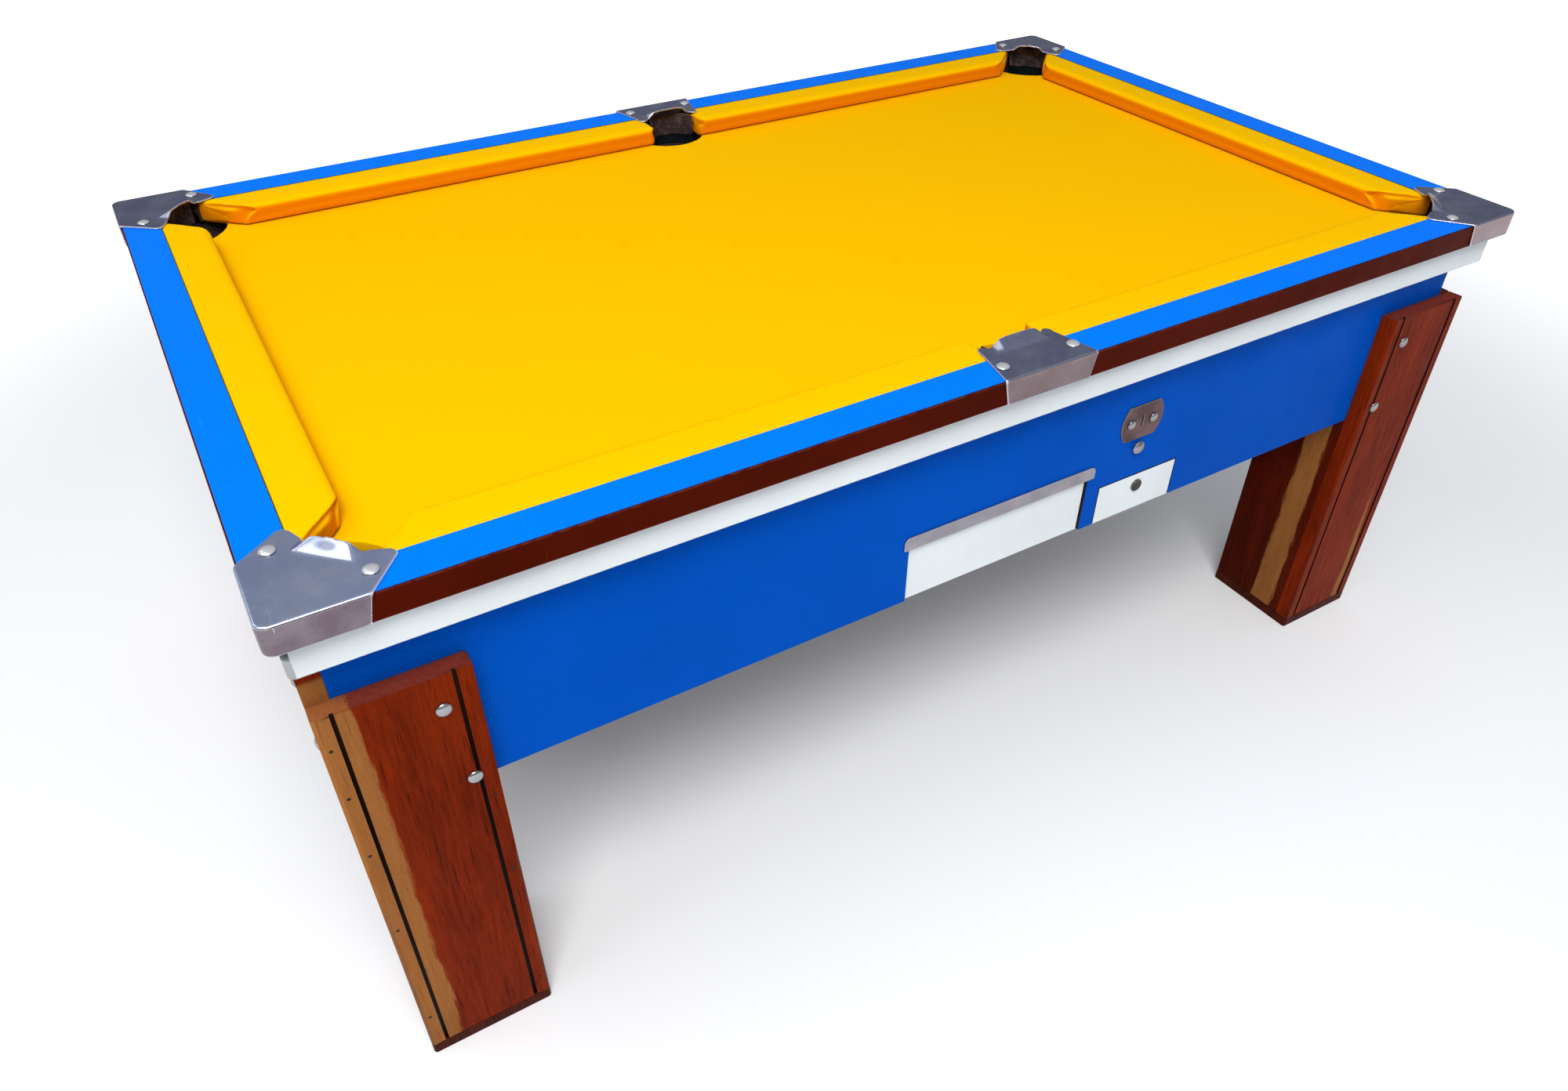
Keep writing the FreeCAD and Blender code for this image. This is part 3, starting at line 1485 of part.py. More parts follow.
centre_ramp = new_body("centre_ramp")
centre_half = dim.ramp_inner - dim.fit_gap
centre_front = tray_end - dim.centre_lap
centre_run = inside_y - dim.fit_gap - centre_front
centre_slope = slope_angle(dim.centre_fall, centre_run)
centre_length = centre_run / cosine(centre_slope)
centre_corners = [
    (-centre_half, 0),
    (centre_half, 0),
    (centre_half, centre_length),
    (-centre_half, centre_length),
]
centre_plan = outline(centre_ramp, "centre_ramp_plan", "XY_Plane", centre_corners)
pad(centre_ramp, centre_plan, dim.ramp_board)
turned(centre_ramp, V(1, 0, 0), 1)
bind(centre_ramp, "Placement.Rotation.Angle", centre_slope)
place(centre_ramp, 0, centre_front, floor_top + dim.centre_rise)
keep(centre_ramp, "centre_ramp")

bearer = block(
    "ramp_bearer",
    (dim.ramp_inner, dim.ramp_inner + dim.bearer_width),
    (tray_end + dim.door_gap, inside_y),
    (floor_top, ramp_height),
)
keep(group("ramp_bearers", [bearer, mirror("ramp_bearer_left", bearer, END_TO_END)]), "ramp_bearers")


# Test every object, then write one file for each piece

doc.recompute()
for item in doc.Objects:
    if "Invalid" in item.State or "Error" in item.State:
        raise RuntimeError(f"{item.Name} failed: {item.State}")
for piece in nodes:
    if piece.Shape.isNull() or not piece.Shape.isValid() or not piece.Shape.Solids:
        raise RuntimeError(f"{piece.Label} has no valid solid")

os.makedirs("parts", exist_ok=True)
for piece in nodes:
    piece.Shape.exportStep(f"parts/{piece.Label}.step")
print(f"{len(nodes)} pieces, {sum(len(piece.Shape.Solids) for piece in nodes)} solids")
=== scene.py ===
# %% [markdown]
# # A bar pool table, dressed in Blender
# The solids come from the part's CAD model and fix every size. This lesson
# gives them their looks: soft cushions, stretched cloth, polished castings,
# painted rails and oiled timber. Lengths are in metres, the front faces -Y,
# and every piece sits at the origin with its place in its mesh.

# %% Load the frame
import json
import math
from functools import partialmethod

import bmesh
import bpy
import numpy as np
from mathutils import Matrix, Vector, noise

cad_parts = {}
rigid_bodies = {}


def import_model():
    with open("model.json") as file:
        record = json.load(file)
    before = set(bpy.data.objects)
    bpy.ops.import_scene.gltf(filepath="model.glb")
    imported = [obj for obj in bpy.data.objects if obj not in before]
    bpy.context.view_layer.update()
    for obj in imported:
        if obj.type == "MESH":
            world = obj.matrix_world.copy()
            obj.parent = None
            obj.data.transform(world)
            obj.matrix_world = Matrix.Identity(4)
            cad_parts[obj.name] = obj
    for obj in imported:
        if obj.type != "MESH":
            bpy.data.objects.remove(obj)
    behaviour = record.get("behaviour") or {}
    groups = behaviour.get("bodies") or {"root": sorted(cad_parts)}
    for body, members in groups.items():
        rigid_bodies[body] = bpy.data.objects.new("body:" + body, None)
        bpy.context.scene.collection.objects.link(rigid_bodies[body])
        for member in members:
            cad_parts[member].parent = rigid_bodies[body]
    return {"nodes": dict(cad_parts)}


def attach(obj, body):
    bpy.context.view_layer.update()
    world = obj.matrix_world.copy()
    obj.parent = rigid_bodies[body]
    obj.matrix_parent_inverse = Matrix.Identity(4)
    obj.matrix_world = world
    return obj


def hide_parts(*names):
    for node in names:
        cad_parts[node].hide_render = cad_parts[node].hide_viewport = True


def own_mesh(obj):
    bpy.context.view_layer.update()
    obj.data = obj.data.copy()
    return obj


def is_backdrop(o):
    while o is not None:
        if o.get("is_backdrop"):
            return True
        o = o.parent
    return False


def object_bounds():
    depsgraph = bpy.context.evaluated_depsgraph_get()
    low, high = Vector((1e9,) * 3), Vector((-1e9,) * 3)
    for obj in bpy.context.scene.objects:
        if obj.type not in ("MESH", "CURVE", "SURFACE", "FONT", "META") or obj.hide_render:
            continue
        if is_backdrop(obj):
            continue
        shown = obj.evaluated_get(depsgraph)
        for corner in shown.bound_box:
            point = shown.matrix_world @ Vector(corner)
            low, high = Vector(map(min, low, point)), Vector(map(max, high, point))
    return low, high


for item in list(bpy.data.objects):
    bpy.data.objects.remove(item)
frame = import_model()
cad_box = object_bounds()
MM = 0.001
print("frame loaded with", len(frame["nodes"]), "nodes")

# %% [markdown]
# ## The camera
# The photograph was taken from the front left with a wide lens, looking down
# on the cloth. Vanishing points and known sizes gave the place and the angles
# of the lens, so the render can be laid over the photograph.

# %% Camera
lens = bpy.data.cameras.new("photo camera")
lens.sensor_fit = "HORIZONTAL"
lens.sensor_width = 36
lens.lens = 26.205
lens.clip_end = 100
camera = bpy.data.objects.new("photo camera", lens)
camera.location = (-0.9543, -1.5367, 1.5856)
camera.rotation_euler = [math.radians(angle) for angle in (51.26, 0.02, -30.55)]
bpy.context.scene.collection.objects.link(camera)
bpy.context.scene.camera = camera
print("camera stands", round(camera.location.length, 2), "m from the floor's middle")

# %% [markdown]
# ## Writing shader trees
# A finish is a tree of nodes. A small class keeps the later cells short: it
# adds a node, fills or links its sockets, and knows the few sums, mixes and
# noises that finishes are made of. Two functions start a material and a group.


# %% Node trees
class Tree:
    """A node tree that is written one call at a time; end holds the sockets it leads to."""

    def __init__(self, tree, end):
        self.tree, self.end = tree, end

    def add(self, kind, inputs=None, **settings):
        node = self.tree.nodes.new(kind)
        for name, value in settings.items():
            setattr(node, name, value)
        for name, value in (inputs or {}).items():
            self.feed(node.inputs[name], value)
        return node

    def feed(self, socket, value):
        if isinstance(value, bpy.types.NodeSocket):
            self.tree.links.new(value, socket)
        else:
            socket.default_value = value

    def math(self, operation, *values):
        return self.add("ShaderNodeMath", dict(enumerate(values)), operation=operation).outputs[0]

    plus = partialmethod(math, "ADD")
    minus = partialmethod(math, "SUBTRACT")
    times = partialmethod(math, "MULTIPLY")
    most = partialmethod(math, "MAXIMUM")

    def mix(self, factor, first, second, blend="MIX"):
        inputs = {0: factor, 6: first, 7: second}
        return self.add("ShaderNodeMix", inputs, data_type="RGBA", blend_type=blend).outputs[2]

    def band(self, value, low, high, start=0.0, end=1.0):
        names = ("Value", "From Min", "From Max", "To Min", "To Max")
        inputs = dict(zip(names, (value, low, high, start, end)))
        return self.add("ShaderNodeMapRange", inputs, interpolation_type="SMOOTHSTEP").outputs[0]

    def moved(self, vector, **inputs):
        return self.add("ShaderNodeMapping", {"Vector": vector, **inputs}).outputs[0]

    def noise(self, vector, scale, detail=3.0, roughness=0.55, shift=(0, 0, 0)):
        """Noise of one scale, or of a scale for each axis."""
        if isinstance(scale, tuple):
            vector, scale = self.moved(vector, Scale=scale, Location=shift), 1.0
        inputs = {"Vector": vector, "Scale": scale, "Detail": detail, "Roughness": roughness}
        return self.add("ShaderNodeTexNoise", inputs).outputs[0]

    def mark(self, name):
        """What a mesh says in one of its attributes."""
        return self.add("ShaderNodeAttribute", attribute_name=name).outputs["Fac"]

    def placed(self, group, inputs):
        return self.add("ShaderNodeGroup", inputs, node_tree=group).outputs

    def give(self, **values):
        """Fills or links sockets at the end of the tree."""
        for name, value in values.items():
            self.feed(self.end[name.replace("_", " ")], value)

    def bump(self, height, strength, distance):
        inputs = {"Height": height, "Strength": strength, "Distance": distance}
        self.give(Normal=self.add("ShaderNodeBump", inputs).outputs[0])


print("tree class ready")


# %% Materials and groups
def linear(red, green, blue):
    """A screen colour of 0 to 255 as the linear colour that shaders read, by the sRGB curve."""
    steps = [c / 255 for c in (red, green, blue)]
    curve = [s / 12.92 if s < 0.04045 else ((s + 0.055) / 1.055) ** 2.4 for s in steps]
    return (*curve, 1.0)


def new_finish(name, **constants):
    """A material, its tree with a Principled shader, and Object coordinates to start from."""
    material = bpy.data.materials.new(name)
    material.use_nodes = True
    tree = Tree(material.node_tree, material.node_tree.nodes["Principled BSDF"].inputs)
    tree.give(**constants)
    return material, tree, tree.add("ShaderNodeTexCoord").outputs["Object"]


FLOAT, COLOUR, VECTOR = "NodeSocketFloat", "NodeSocketColor", "NodeSocketVector"
NUMBERS = {int: "NodeSocketInt", float: FLOAT}


def new_group(name, inputs, outputs, kind="ShaderNodeTree"):
    """A node group with named sockets, where a number is a default, its tree and its inputs."""
    group = bpy.data.node_groups.new(name, kind)
    for label, given in inputs.items():
        socket_type = NUMBERS.get(type(given), given)
        socket = group.interface.new_socket(label, in_out="INPUT", socket_type=socket_type)
        if socket_type != given:
            socket.default_value = given
    for label, given in outputs.items():
        group.interface.new_socket(label, in_out="OUTPUT", socket_type=given)
    tree = Tree(group, group.nodes.new("NodeGroupOutput").inputs)
    start = tree.add("NodeGroupInput").outputs
    return group, tree, [start[label] for label in inputs]


print("materials and groups ready")

# %% [markdown]
# ## Cloth
# Pool cloth is a short, brushed wool: a fine twill under the nap, a soft
# mottle, and darker fibre where it is handled. One group makes both the nap
# and the threads, and the bed and the cushions use it with other values. The
# cushions' upright faces, which their "upright" attribute marks, get a deeper
# orange as painted shade, and a painted shadow runs along their foot, where
# they meet the bed.

# %% Cloth group
cloth_group, t, (spot, cloth, shade, handling) = new_group(
    "brushed cloth",
    {"Vector": VECTOR, "Cloth": COLOUR, "Shade": COLOUR, "Handling": 0.3},
    {"Color": COLOUR, "Height": FLOAT},
)
nap = t.noise(spot, 900, 2)
threads = []
for direction in ("X", "Y"):
    inputs = {"Vector": spot, "Scale": 210}
    wave = t.add("ShaderNodeTexWave", inputs, bands_direction=direction)
    threads.append(wave.outputs["Fac"])
mottle = t.math("MULTIPLY_ADD", t.noise(spot, 9, 5), 0.30, t.times(nap, 0.22))
handled = t.times(t.band(t.noise(spot, 3.1, 6, 0.7), 0.52, 0.78), handling)
colour = t.mix(handled, t.mix(t.times(mottle, 0.6), cloth, shade), shade)
t.give(Color=colour, Height=t.plus(t.times(t.times(*threads), 0.6), nap))
print("cloth group has", len(t.tree.nodes), "nodes")

# %% Cloth finishes
CLOTH_TOP = 810 * MM
# The painted shadow along a cushion's foot: the height up to which it is darkest, the height
# where it fades out, and its strength.
FOOT_LINE, FOOT_END, FOOT_DEPTH = 1.5 * MM, 5 * MM, 0.75


def cloth_finish(name, cloth, shade, handling, foot=None):
    """Woven cloth, with painted shade where it stands upright and a painted shadow at its foot.
    """
    cloth, shade = linear(*cloth), linear(*shade)
    material, tree, place = new_finish(
        name, Roughness=0.95, Sheen_Weight=0.12, Sheen_Roughness=0.4, Specular_IOR_Level=0.08,
        Sheen_Tint=linear(255, 190, 20), Specular_Tint=cloth,
    )
    inputs = {"Vector": place, "Cloth": cloth, "Shade": shade, "Handling": handling}
    made = tree.placed(cloth_group, inputs)
    # Painted shade: upright faces are mixed towards a deeper orange.
    colour = tree.mix(tree.mark("upright"), made["Color"], linear(236, 142, 0))
    if foot:
        # Painted shadow: a dark line along the foot, where the cushion meets the bed.
        over = tree.minus(tree.add("ShaderNodeSeparateXYZ", {0: place}).outputs[2], foot)
        line = tree.band(over, FOOT_LINE, FOOT_END, FOOT_DEPTH, 0.0)
        colour = tree.mix(line, colour, linear(110, 58, 0))
    tree.give(Base_Color=colour)
    tree.bump(made["Height"], 0.35, 0.4 * MM)
    return material


BED_CLOTH = cloth_finish("yellow bed cloth", (255, 195, 0), (246, 176, 0), 0.08)
CUSHION_CLOTH = cloth_finish(
    "yellow cushion cloth", (255, 197, 0), (246, 178, 0), 0.12, foot=CLOTH_TOP
)
print("cloth finishes:", BED_CLOTH.name, "and", CUSHION_CLOTH.name)

# %% [markdown]
# ## Scuffs and worn edges
# Boards and castings that stand in a bar get scratched. One group draws fine
# scratches in two directions and soft smudges. A second reads the "edge"
# attribute, which later cells write along the edges of a piece, and breaks it
# up so that only parts of an edge are rubbed.

# %% Scuff group
scuff_group, t, (spot, density) = new_group(
    "scuffs", {"Vector": VECTOR, "Density": 0.5}, {"Scratches": FLOAT, "Smudge": FLOAT}
)
lines = []
for turn, sizes in ((0.5, (9, 260, 40)), (2.2, (240, 12, 40))):
    turned = t.moved(spot, Rotation=(0, 0, turn), Scale=sizes)
    lines.append(t.band(t.noise(turned, 1.0, 2, 0.5), 0.70, 0.76))
few = t.band(t.noise(spot, 14, 2), 0.45, 0.62)
smudge = t.band(t.noise(spot, 16, 5, 0.65), 0.35, 0.72)
t.give(Scratches=t.times(t.times(t.most(*lines), few), density), Smudge=smudge)
print("scuff group has", len(t.tree.nodes), "nodes")

# %% Worn edge group
edge_group, t, (spot, amount) = new_group(
    "worn edge", {"Vector": VECTOR, "Amount": 0.6}, {"Wear": FLOAT}
)
broken = t.band(t.noise(spot, 55, 4, 0.7), 0.38, 0.62)
t.give(Wear=t.times(t.times(t.mark("edge"), broken), amount))
print("worn edge group has", len(t.tree.nodes), "nodes")

# %% [markdown]
# ## Board finishes
# The rails are brown on the edge and carry a glossy blue laminate on top, the
# cabinet is a darker blue, and skirt, drawer and coin door are white melamine.
# All are one recipe: a base that varies a little, smudges that change the
# gloss, rubbed edges, and a dark brown where the "inside" attribute says so:
# bare board on hidden backs and sawn sides, and painted shade on the walls of
# the token slot and on the cabinet seen down the pockets.

# %% Board finishes
def board_finish(name, colour, second, worn, wear, rough, coat=0.0, scratches=0.25):
    """Paint or laminate in two close colours, and a third where it is worn."""
    colour, second, worn = linear(*colour), linear(*second), linear(*worn)
    material, tree, place = new_finish(
        name, Coat_Roughness=0.12, Specular_IOR_Level=0.02, Coat_Weight=coat, Specular_Tint=colour
    )
    scuffs = tree.placed(scuff_group, {"Vector": place, "Density": scratches})
    rubbed = tree.placed(edge_group, {"Vector": place, "Amount": wear})["Wear"]
    cloudy = tree.band(tree.noise(place, 5, 4, 0.6), 0.3, 0.75, 0, 0.8)
    base = tree.mix(cloudy, colour, second)
    base = tree.mix(tree.times(scuffs["Scratches"], 0.6), base, worn)
    base = tree.mix(rubbed, base, worn)
    # Dark brown where "inside" is marked: bare board, and painted shade in the token slot and
    # down the pockets.
    tree.give(
        Base_Color=tree.mix(tree.mark("inside"), base, linear(58, 46, 40)),
        Roughness=tree.band(scuffs["Smudge"], 0, 1, rough, rough + 0.16),
    )
    tree.bump(tree.noise(place, 320, 2), 0.05, 0.3 * MM)
    return material


RAIL_BLUE = board_finish(
    "blue rail laminate", (0, 120, 255), (0, 121, 250), (96, 166, 240), 0.22, 0.26
)
APRON_BLUE = board_finish(
    "blue cabinet laminate", (0, 86, 196), (0, 80, 186), (60, 112, 190), 0.18, 0.36
)
RAIL_BROWN = board_finish("brown rail edge", (83, 20, 5), (69, 15, 4), (140, 84, 66), 0.30, 0.34)
WHITE_BOARD = board_finish(
    "white melamine", (246, 252, 253), (234, 239, 239), (150, 140, 128), 0.45, 0.30, 0.04, 0.20
)
SLAB_BOARD = board_finish("bed board", (60, 56, 54), (46, 43, 42), (90, 84, 78), 0.2, 0.7)
print("board finishes ready, from", RAIL_BLUE.name, "to", SLAB_BOARD.name)

# %% [markdown]
# ## Metal finishes
# The pocket caps are cast aluminium, polished by hand: lilac-grey on the flat,
# with soft clouds of painted reflection, and bright along the folds, partly as
# buffed metal is and partly as a painted highlight. Upright faces take a darker
# mauve that is a painted reflection of the floor, and all caps but the front
# left one take a darker copy of the finish as painted shade.
# The same group makes the pull strip, the token plate, the dome heads and the
# hidden zinc parts.

# %% Metal group
metal_group, t, (spot, flat, bright, standing, polish, density, metallic) = new_group(
    "buffed metal",
    {"Vector": VECTOR, "Dull": COLOUR, "Bright": COLOUR, "Upright": COLOUR,
     "Polish": 0.3, "Density": 0.5, "Metallic": 1.0},
    {"Color": COLOUR, "Roughness": FLOAT, "Metallic": FLOAT, "Height": FLOAT},
)
clouds = t.band(t.noise(spot, 22, 6, 0.62), 0.34, 0.70)
scuffs = t.placed(scuff_group, {"Vector": spot, "Density": density})
edge, upright, dark_hood_oval, dome_foot_shadow = [t.mark(name) for name in ("edge", "upright", "dark_hood_oval", "dome_foot_shadow")]
cloudy = t.times(clouds, t.minus(0.30, t.times(upright, 0.22)))
# Painted reflection: upright faces take the Upright colour, and the clouds lighten the flat.
# Bends take the Bright colour, partly as polish and partly as a painted highlight.
buffed = t.most(t.most(cloudy, edge), t.times(scuffs["Scratches"], 0.8))
shine = t.mix(buffed, t.mix(upright, flat, standing), bright)
# An oval on the top of each corner hood is darkened.
shine = t.mix(t.times(dark_hood_oval, 0.75), shine, linear(84, 86, 98))
rough = t.math("MULTIPLY_ADD", scuffs["Smudge"], 0.14, polish)
t.give(
    # Painted shadow round the foot of each dome head.
    Color=t.mix(dome_foot_shadow, shine, linear(34, 30, 32)),
    Roughness=t.most(t.minus(rough, t.times(edge, 0.08)), 0.10),
    # Bends are less metallic, which lightens their painted highlight.
    Metallic=t.times(metallic, t.minus(1.0, t.times(edge, 0.5))),
    Height=t.minus(t.noise(spot, 60, 3), t.times(scuffs["Scratches"], 0.6)),
)
print("metal group has", len(t.tree.nodes), "nodes")

# %% Metal finishes
def metal_finish(name, dull, bright, polish, density, upright=None, metallic=1.0):
    """A metal's dull and bright colours, and a painted reflection colour for upright faces."""
    material, tree, place = new_finish(name)
    dull, bright, upright = linear(*dull), linear(*bright), linear(*(upright or dull))
    made = tree.placed(metal_group, {
        "Vector": place, "Dull": dull, "Bright": bright, "Upright": upright,
        "Polish": polish, "Density": density, "Metallic": metallic,
    })
    tree.give(Base_Color=made["Color"], Roughness=made["Roughness"], Metallic=made["Metallic"])
    tree.bump(made["Height"], 0.12, 0.6 * MM)
    return material


CAP_ALUMINIUM = metal_finish(
    "cast aluminium cap", (192, 203, 238), (248, 249, 253), 0.20, 0.5, upright=(112, 98, 107)
)
# A darker copy of the cap finish, painted shade for the caps other than the front left one.
SHADED_ALUMINIUM = metal_finish(
    "shaded aluminium cap", (140, 144, 176), (214, 216, 226), 0.22, 0.6, upright=(128, 110, 112)
)
DOME_STEEL = metal_finish(
    "domed steel", (214, 214, 216), (250, 250, 252), 0.20, 0.3, metallic=0.6
)
# A darker copy of the domed steel, painted shade for the upright heads on the legs and the token
# plate.
BOLT_STEEL = metal_finish(
    "bolt steel", (150, 148, 150), (214, 214, 216), 0.24, 0.3, metallic=0.85
)
PULL_ALUMINIUM = metal_finish("rolled aluminium", (150, 145, 153), (196, 194, 202), 0.36, 0.4)
PLATE_STEEL = metal_finish("token plate steel", (92, 72, 74), (176, 144, 134), 0.40, 0.8)
ZINC_STEEL = metal_finish("zinc plated steel", (160, 160, 158), (206, 206, 202), 0.32, 0.4)
LOCK_DARK = metal_finish("dark lock", (54, 50, 50), (128, 120, 116), 0.28, 0.4)
print("metal finishes ready, from", CAP_ALUMINIUM.name, "to", LOCK_DARK.name)

# %% [markdown]
# ## Timber
# The legs are a red-brown hardwood with pale sapwood on some boards. The grain
# runs up the board, so noise drawn out along Z makes the ribbons, and finer
# noise the open pores and short checks. The sapwood's edge wanders, and its
# place is an input, because it lies elsewhere on each board. Sawn ends and
# dark grooves are marked on the mesh.

# %% Timber group
FAR_OFF = 9.0  # metres: a place that is on no board
timber_group, t, (spot, heart, dark, sapwood, sap_from, sap_to, sap_top) = new_group(
    "oiled timber",
    {"Vector": VECTOR, "Heart": COLOUR, "Heart Dark": COLOUR, "Sap": COLOUR,
     "Sap From": -FAR_OFF, "Sap To": -FAR_OFF, "Sap Top": FAR_OFF},
    {"Color": COLOUR, "Roughness": FLOAT, "Height": FLOAT},
)
ribbon = t.band(t.noise(spot, (16, 16, 3.0), 4, 0.6), 0.32, 0.70)
streak = t.band(t.noise(spot, (190, 190, 13), 6, 0.75), 0.36, 0.72)
tone = t.math("MULTIPLY_ADD", ribbon, 0.50, t.times(streak, 0.46))
across, _, height = t.add("ShaderNodeSeparateXYZ", {0: spot}).outputs
wander = t.minus(t.noise(spot, (3, 3, 4.2), 2), 0.5)
ragged = t.minus(t.noise(spot, (300, 300, 30), 2), 0.5)
shifted = t.plus(across, t.plus(t.times(wander, 0.026), t.times(ragged, 0.012)))
under_top = t.minus(sap_top, height)
taper = t.band(under_top, 0.0, 0.30, 0.02, 0.0)
past = t.band(t.minus(shifted, sap_from), -0.003, 0.003)
before = t.band(t.minus(t.minus(sap_to, shifted), taper), -0.003, 0.003)
sap = t.times(t.times(past, before), t.band(under_top, -0.004, 0.004))
pale = t.mix(t.times(tone, 0.75), sapwood, t.mix(0.55, sapwood, dark))
colour = t.mix(sap, t.mix(tone, heart, dark), pale)
pores = t.band(t.noise(spot, (1300, 1300, 150), 2, 0.5), 0.54, 0.72)
pores = t.times(pores, t.minus(0.50, t.times(sap, 0.18)))
checks = t.band(t.noise(spot, (420, 420, 14), 3, 0.45, shift=(3, 7, 1)), 0.62, 0.71)
pits = t.most(pores, t.times(checks, t.minus(0.62, t.times(sap, 0.32))))
rings = t.band(t.noise(spot, 160, 4, 0.7), 0.35, 0.75, 0, 0.45)
grain_end = t.mix(rings, t.mix(0.55, heart, linear(92, 52, 52)), dark)
sawn = t.times(t.mark("end"), t.minus(1.0, t.times(sap, 0.6)))
colour = t.mix(sawn, t.mix(pits, colour, dark, "MULTIPLY"), grain_end)
t.give(
    Color=t.mix(t.mark("groove"), colour, linear(22, 14, 12)),
    Roughness=t.band(streak, 0, 1, 0.36, 0.52),
    Height=t.minus(t.times(ribbon, 0.3), pits),
)
print("timber group has", len(t.tree.nodes), "nodes")

# %% Timber finishes
def timber_finish(name, heart, dark, sap=(-FAR_OFF, -FAR_OFF), turn=0.0):
    """Sapwood from and to two places across the board, along X after a turn, and its top."""
    material, tree, place = new_finish(
        name, Specular_IOR_Level=0.03, Specular_Tint=linear(255, 150, 90)
    )
    sap_from, sap_to, sap_top = (*sap, FAR_OFF)[:3]
    made = tree.placed(timber_group, {
        "Vector": tree.moved(place, Rotation=(0, 0, turn)),
        "Heart": linear(*heart), "Heart Dark": linear(*dark), "Sap": linear(168, 108, 56),
        "Sap From": sap_from, "Sap To": sap_to, "Sap Top": sap_top,
    })
    tree.give(Base_Color=made["Color"], Roughness=made["Roughness"])
    tree.bump(made["Height"], 0.30, 0.6 * MM)
    return material


QUARTER = math.radians(90)
RED_HEART, SHADED_HEART = ((142, 44, 8), (84, 20, 4)), ((96, 26, 10), (56, 12, 4))
SAPWOOD = {  # from, to and top
    "leg_front_left_face": (-1.2, -0.927),
    "leg_front_right_face": (0.928, 0.9435, 0.40),
    "leg_back_left_face": (-0.835, -0.8),
    "leg_back_right_face": (0.9, 0.93),
    "leg_front_left_box": (0.52, 0.60, 0.722),
    "leg_front_right_box": (0.49, 0.535),
    "leg_back_left_box": (-0.45, -0.40),
    "leg_back_right_box": (-0.5, -0.47),
}
LEG_FINISHES = {}
for node, sap in SAPWOOD.items():
    _, end, side, board = node.split("_")
    # The front right boards stand in shade: a darker heartwood paints it.
    hearts = SHADED_HEART if node == "leg_front_right_box" else RED_HEART
    name, turn = ("face board", 0.0) if board == "face" else ("boards", QUARTER)
    LEG_FINISHES[node] = timber_finish(f"{end} {side} {name}", *hearts, sap, turn)
FOOT_DARK = timber_finish("dark foot board", (86, 36, 24), (50, 20, 14), turn=0.3)
PLYWOOD = timber_finish("inner plywood", (206, 170, 120), (170, 128, 82))
print("timber finishes ready for", len(LEG_FINISHES), "leg pieces")

# %% [markdown]
# ## Softened boards
# A CAD edge is perfectly sharp, and no real edge is. A piece that keeps its
# CAD shape is copied, its triangles are merged into flat faces again, and a
# Bevel rounds its edges. The strips that the Bevel makes are remembered in the
# "edge" attribute, for the wear. The rim of a round hole runs in short steps
# and stays sharp: a rounding there would slide into the flat face round it,
# and a dome head hides the rim anyway.


# %% Mesh helpers
def finished(form, name, outward=True):
    """The mesh of a form, with its faces turned outward."""
    if outward:
        bmesh.ops.recalc_face_normals(form, faces=form.faces)
    mesh = bpy.data.meshes.new(name)
    form.to_mesh(mesh)
    form.free()
    return mesh


def finish_with(mesh, material):
    mesh.materials.clear()
    mesh.materials.append(material)


def shown(name, mesh, material):
    item = bpy.data.objects.new(name, mesh)
    finish_with(mesh, material)
    bpy.context.scene.collection.objects.link(item)
    return item


def modify(item, kind, **settings):
    modifier = item.modifiers.new(kind.lower(), kind)
    for name, value in settings.items():
        setattr(modifier, name, value)


def settle(item):
    """Puts the modifiers into the mesh."""
    graph = bpy.context.evaluated_depsgraph_get()
    item.data = bpy.data.meshes.new_from_object(item.evaluated_get(graph))
    item.modifiers.clear()
    return item.data


def write_values(mesh, name, values, domain="POINT"):
    mesh.attributes.new(name, "FLOAT", domain).data.foreach_set("value", values)


def dressed(item, slot, *nodes, body="table"):
    """Says which body a piece rides on and hides the CAD nodes it stands for; slot is not used.
    """
    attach(item, body)
    if nodes:
        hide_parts(*nodes)


print("mesh helpers ready")

# %% Softened copies
WELD, FLAT_ANGLE, SHARP_ANGLE = 2e-6, math.radians(0.6), math.radians(40)
HOLE_STEP = 14 * MM  # the rims of round holes run in shorter steps than this


def merged_copy(node, share=None, least=math.inf):
    """A CAD node as a clean mesh, with a bevel weight on sharp outer edges longer than least."""
    form = bmesh.new()
    form.from_mesh(frame["nodes"][node].data)
    bmesh.ops.remove_doubles(form, verts=form.verts, dist=WELD)
    bmesh.ops.dissolve_limit(form, angle_limit=FLAT_ANGLE, verts=form.verts, edges=form.edges)
    weight = form.edges.layers.float.new("bevel_weight_edge")
    for edge in form.edges:
        sharp = edge.is_manifold and edge.calc_face_angle_signed() > SHARP_ANGLE
        if sharp and edge.calc_length() > least:
            middle = (edge.verts[0].co + edge.verts[1].co) / 2
            edge[weight] = share(middle) if share else 1.0
    return finished(form, "merged", outward=False)


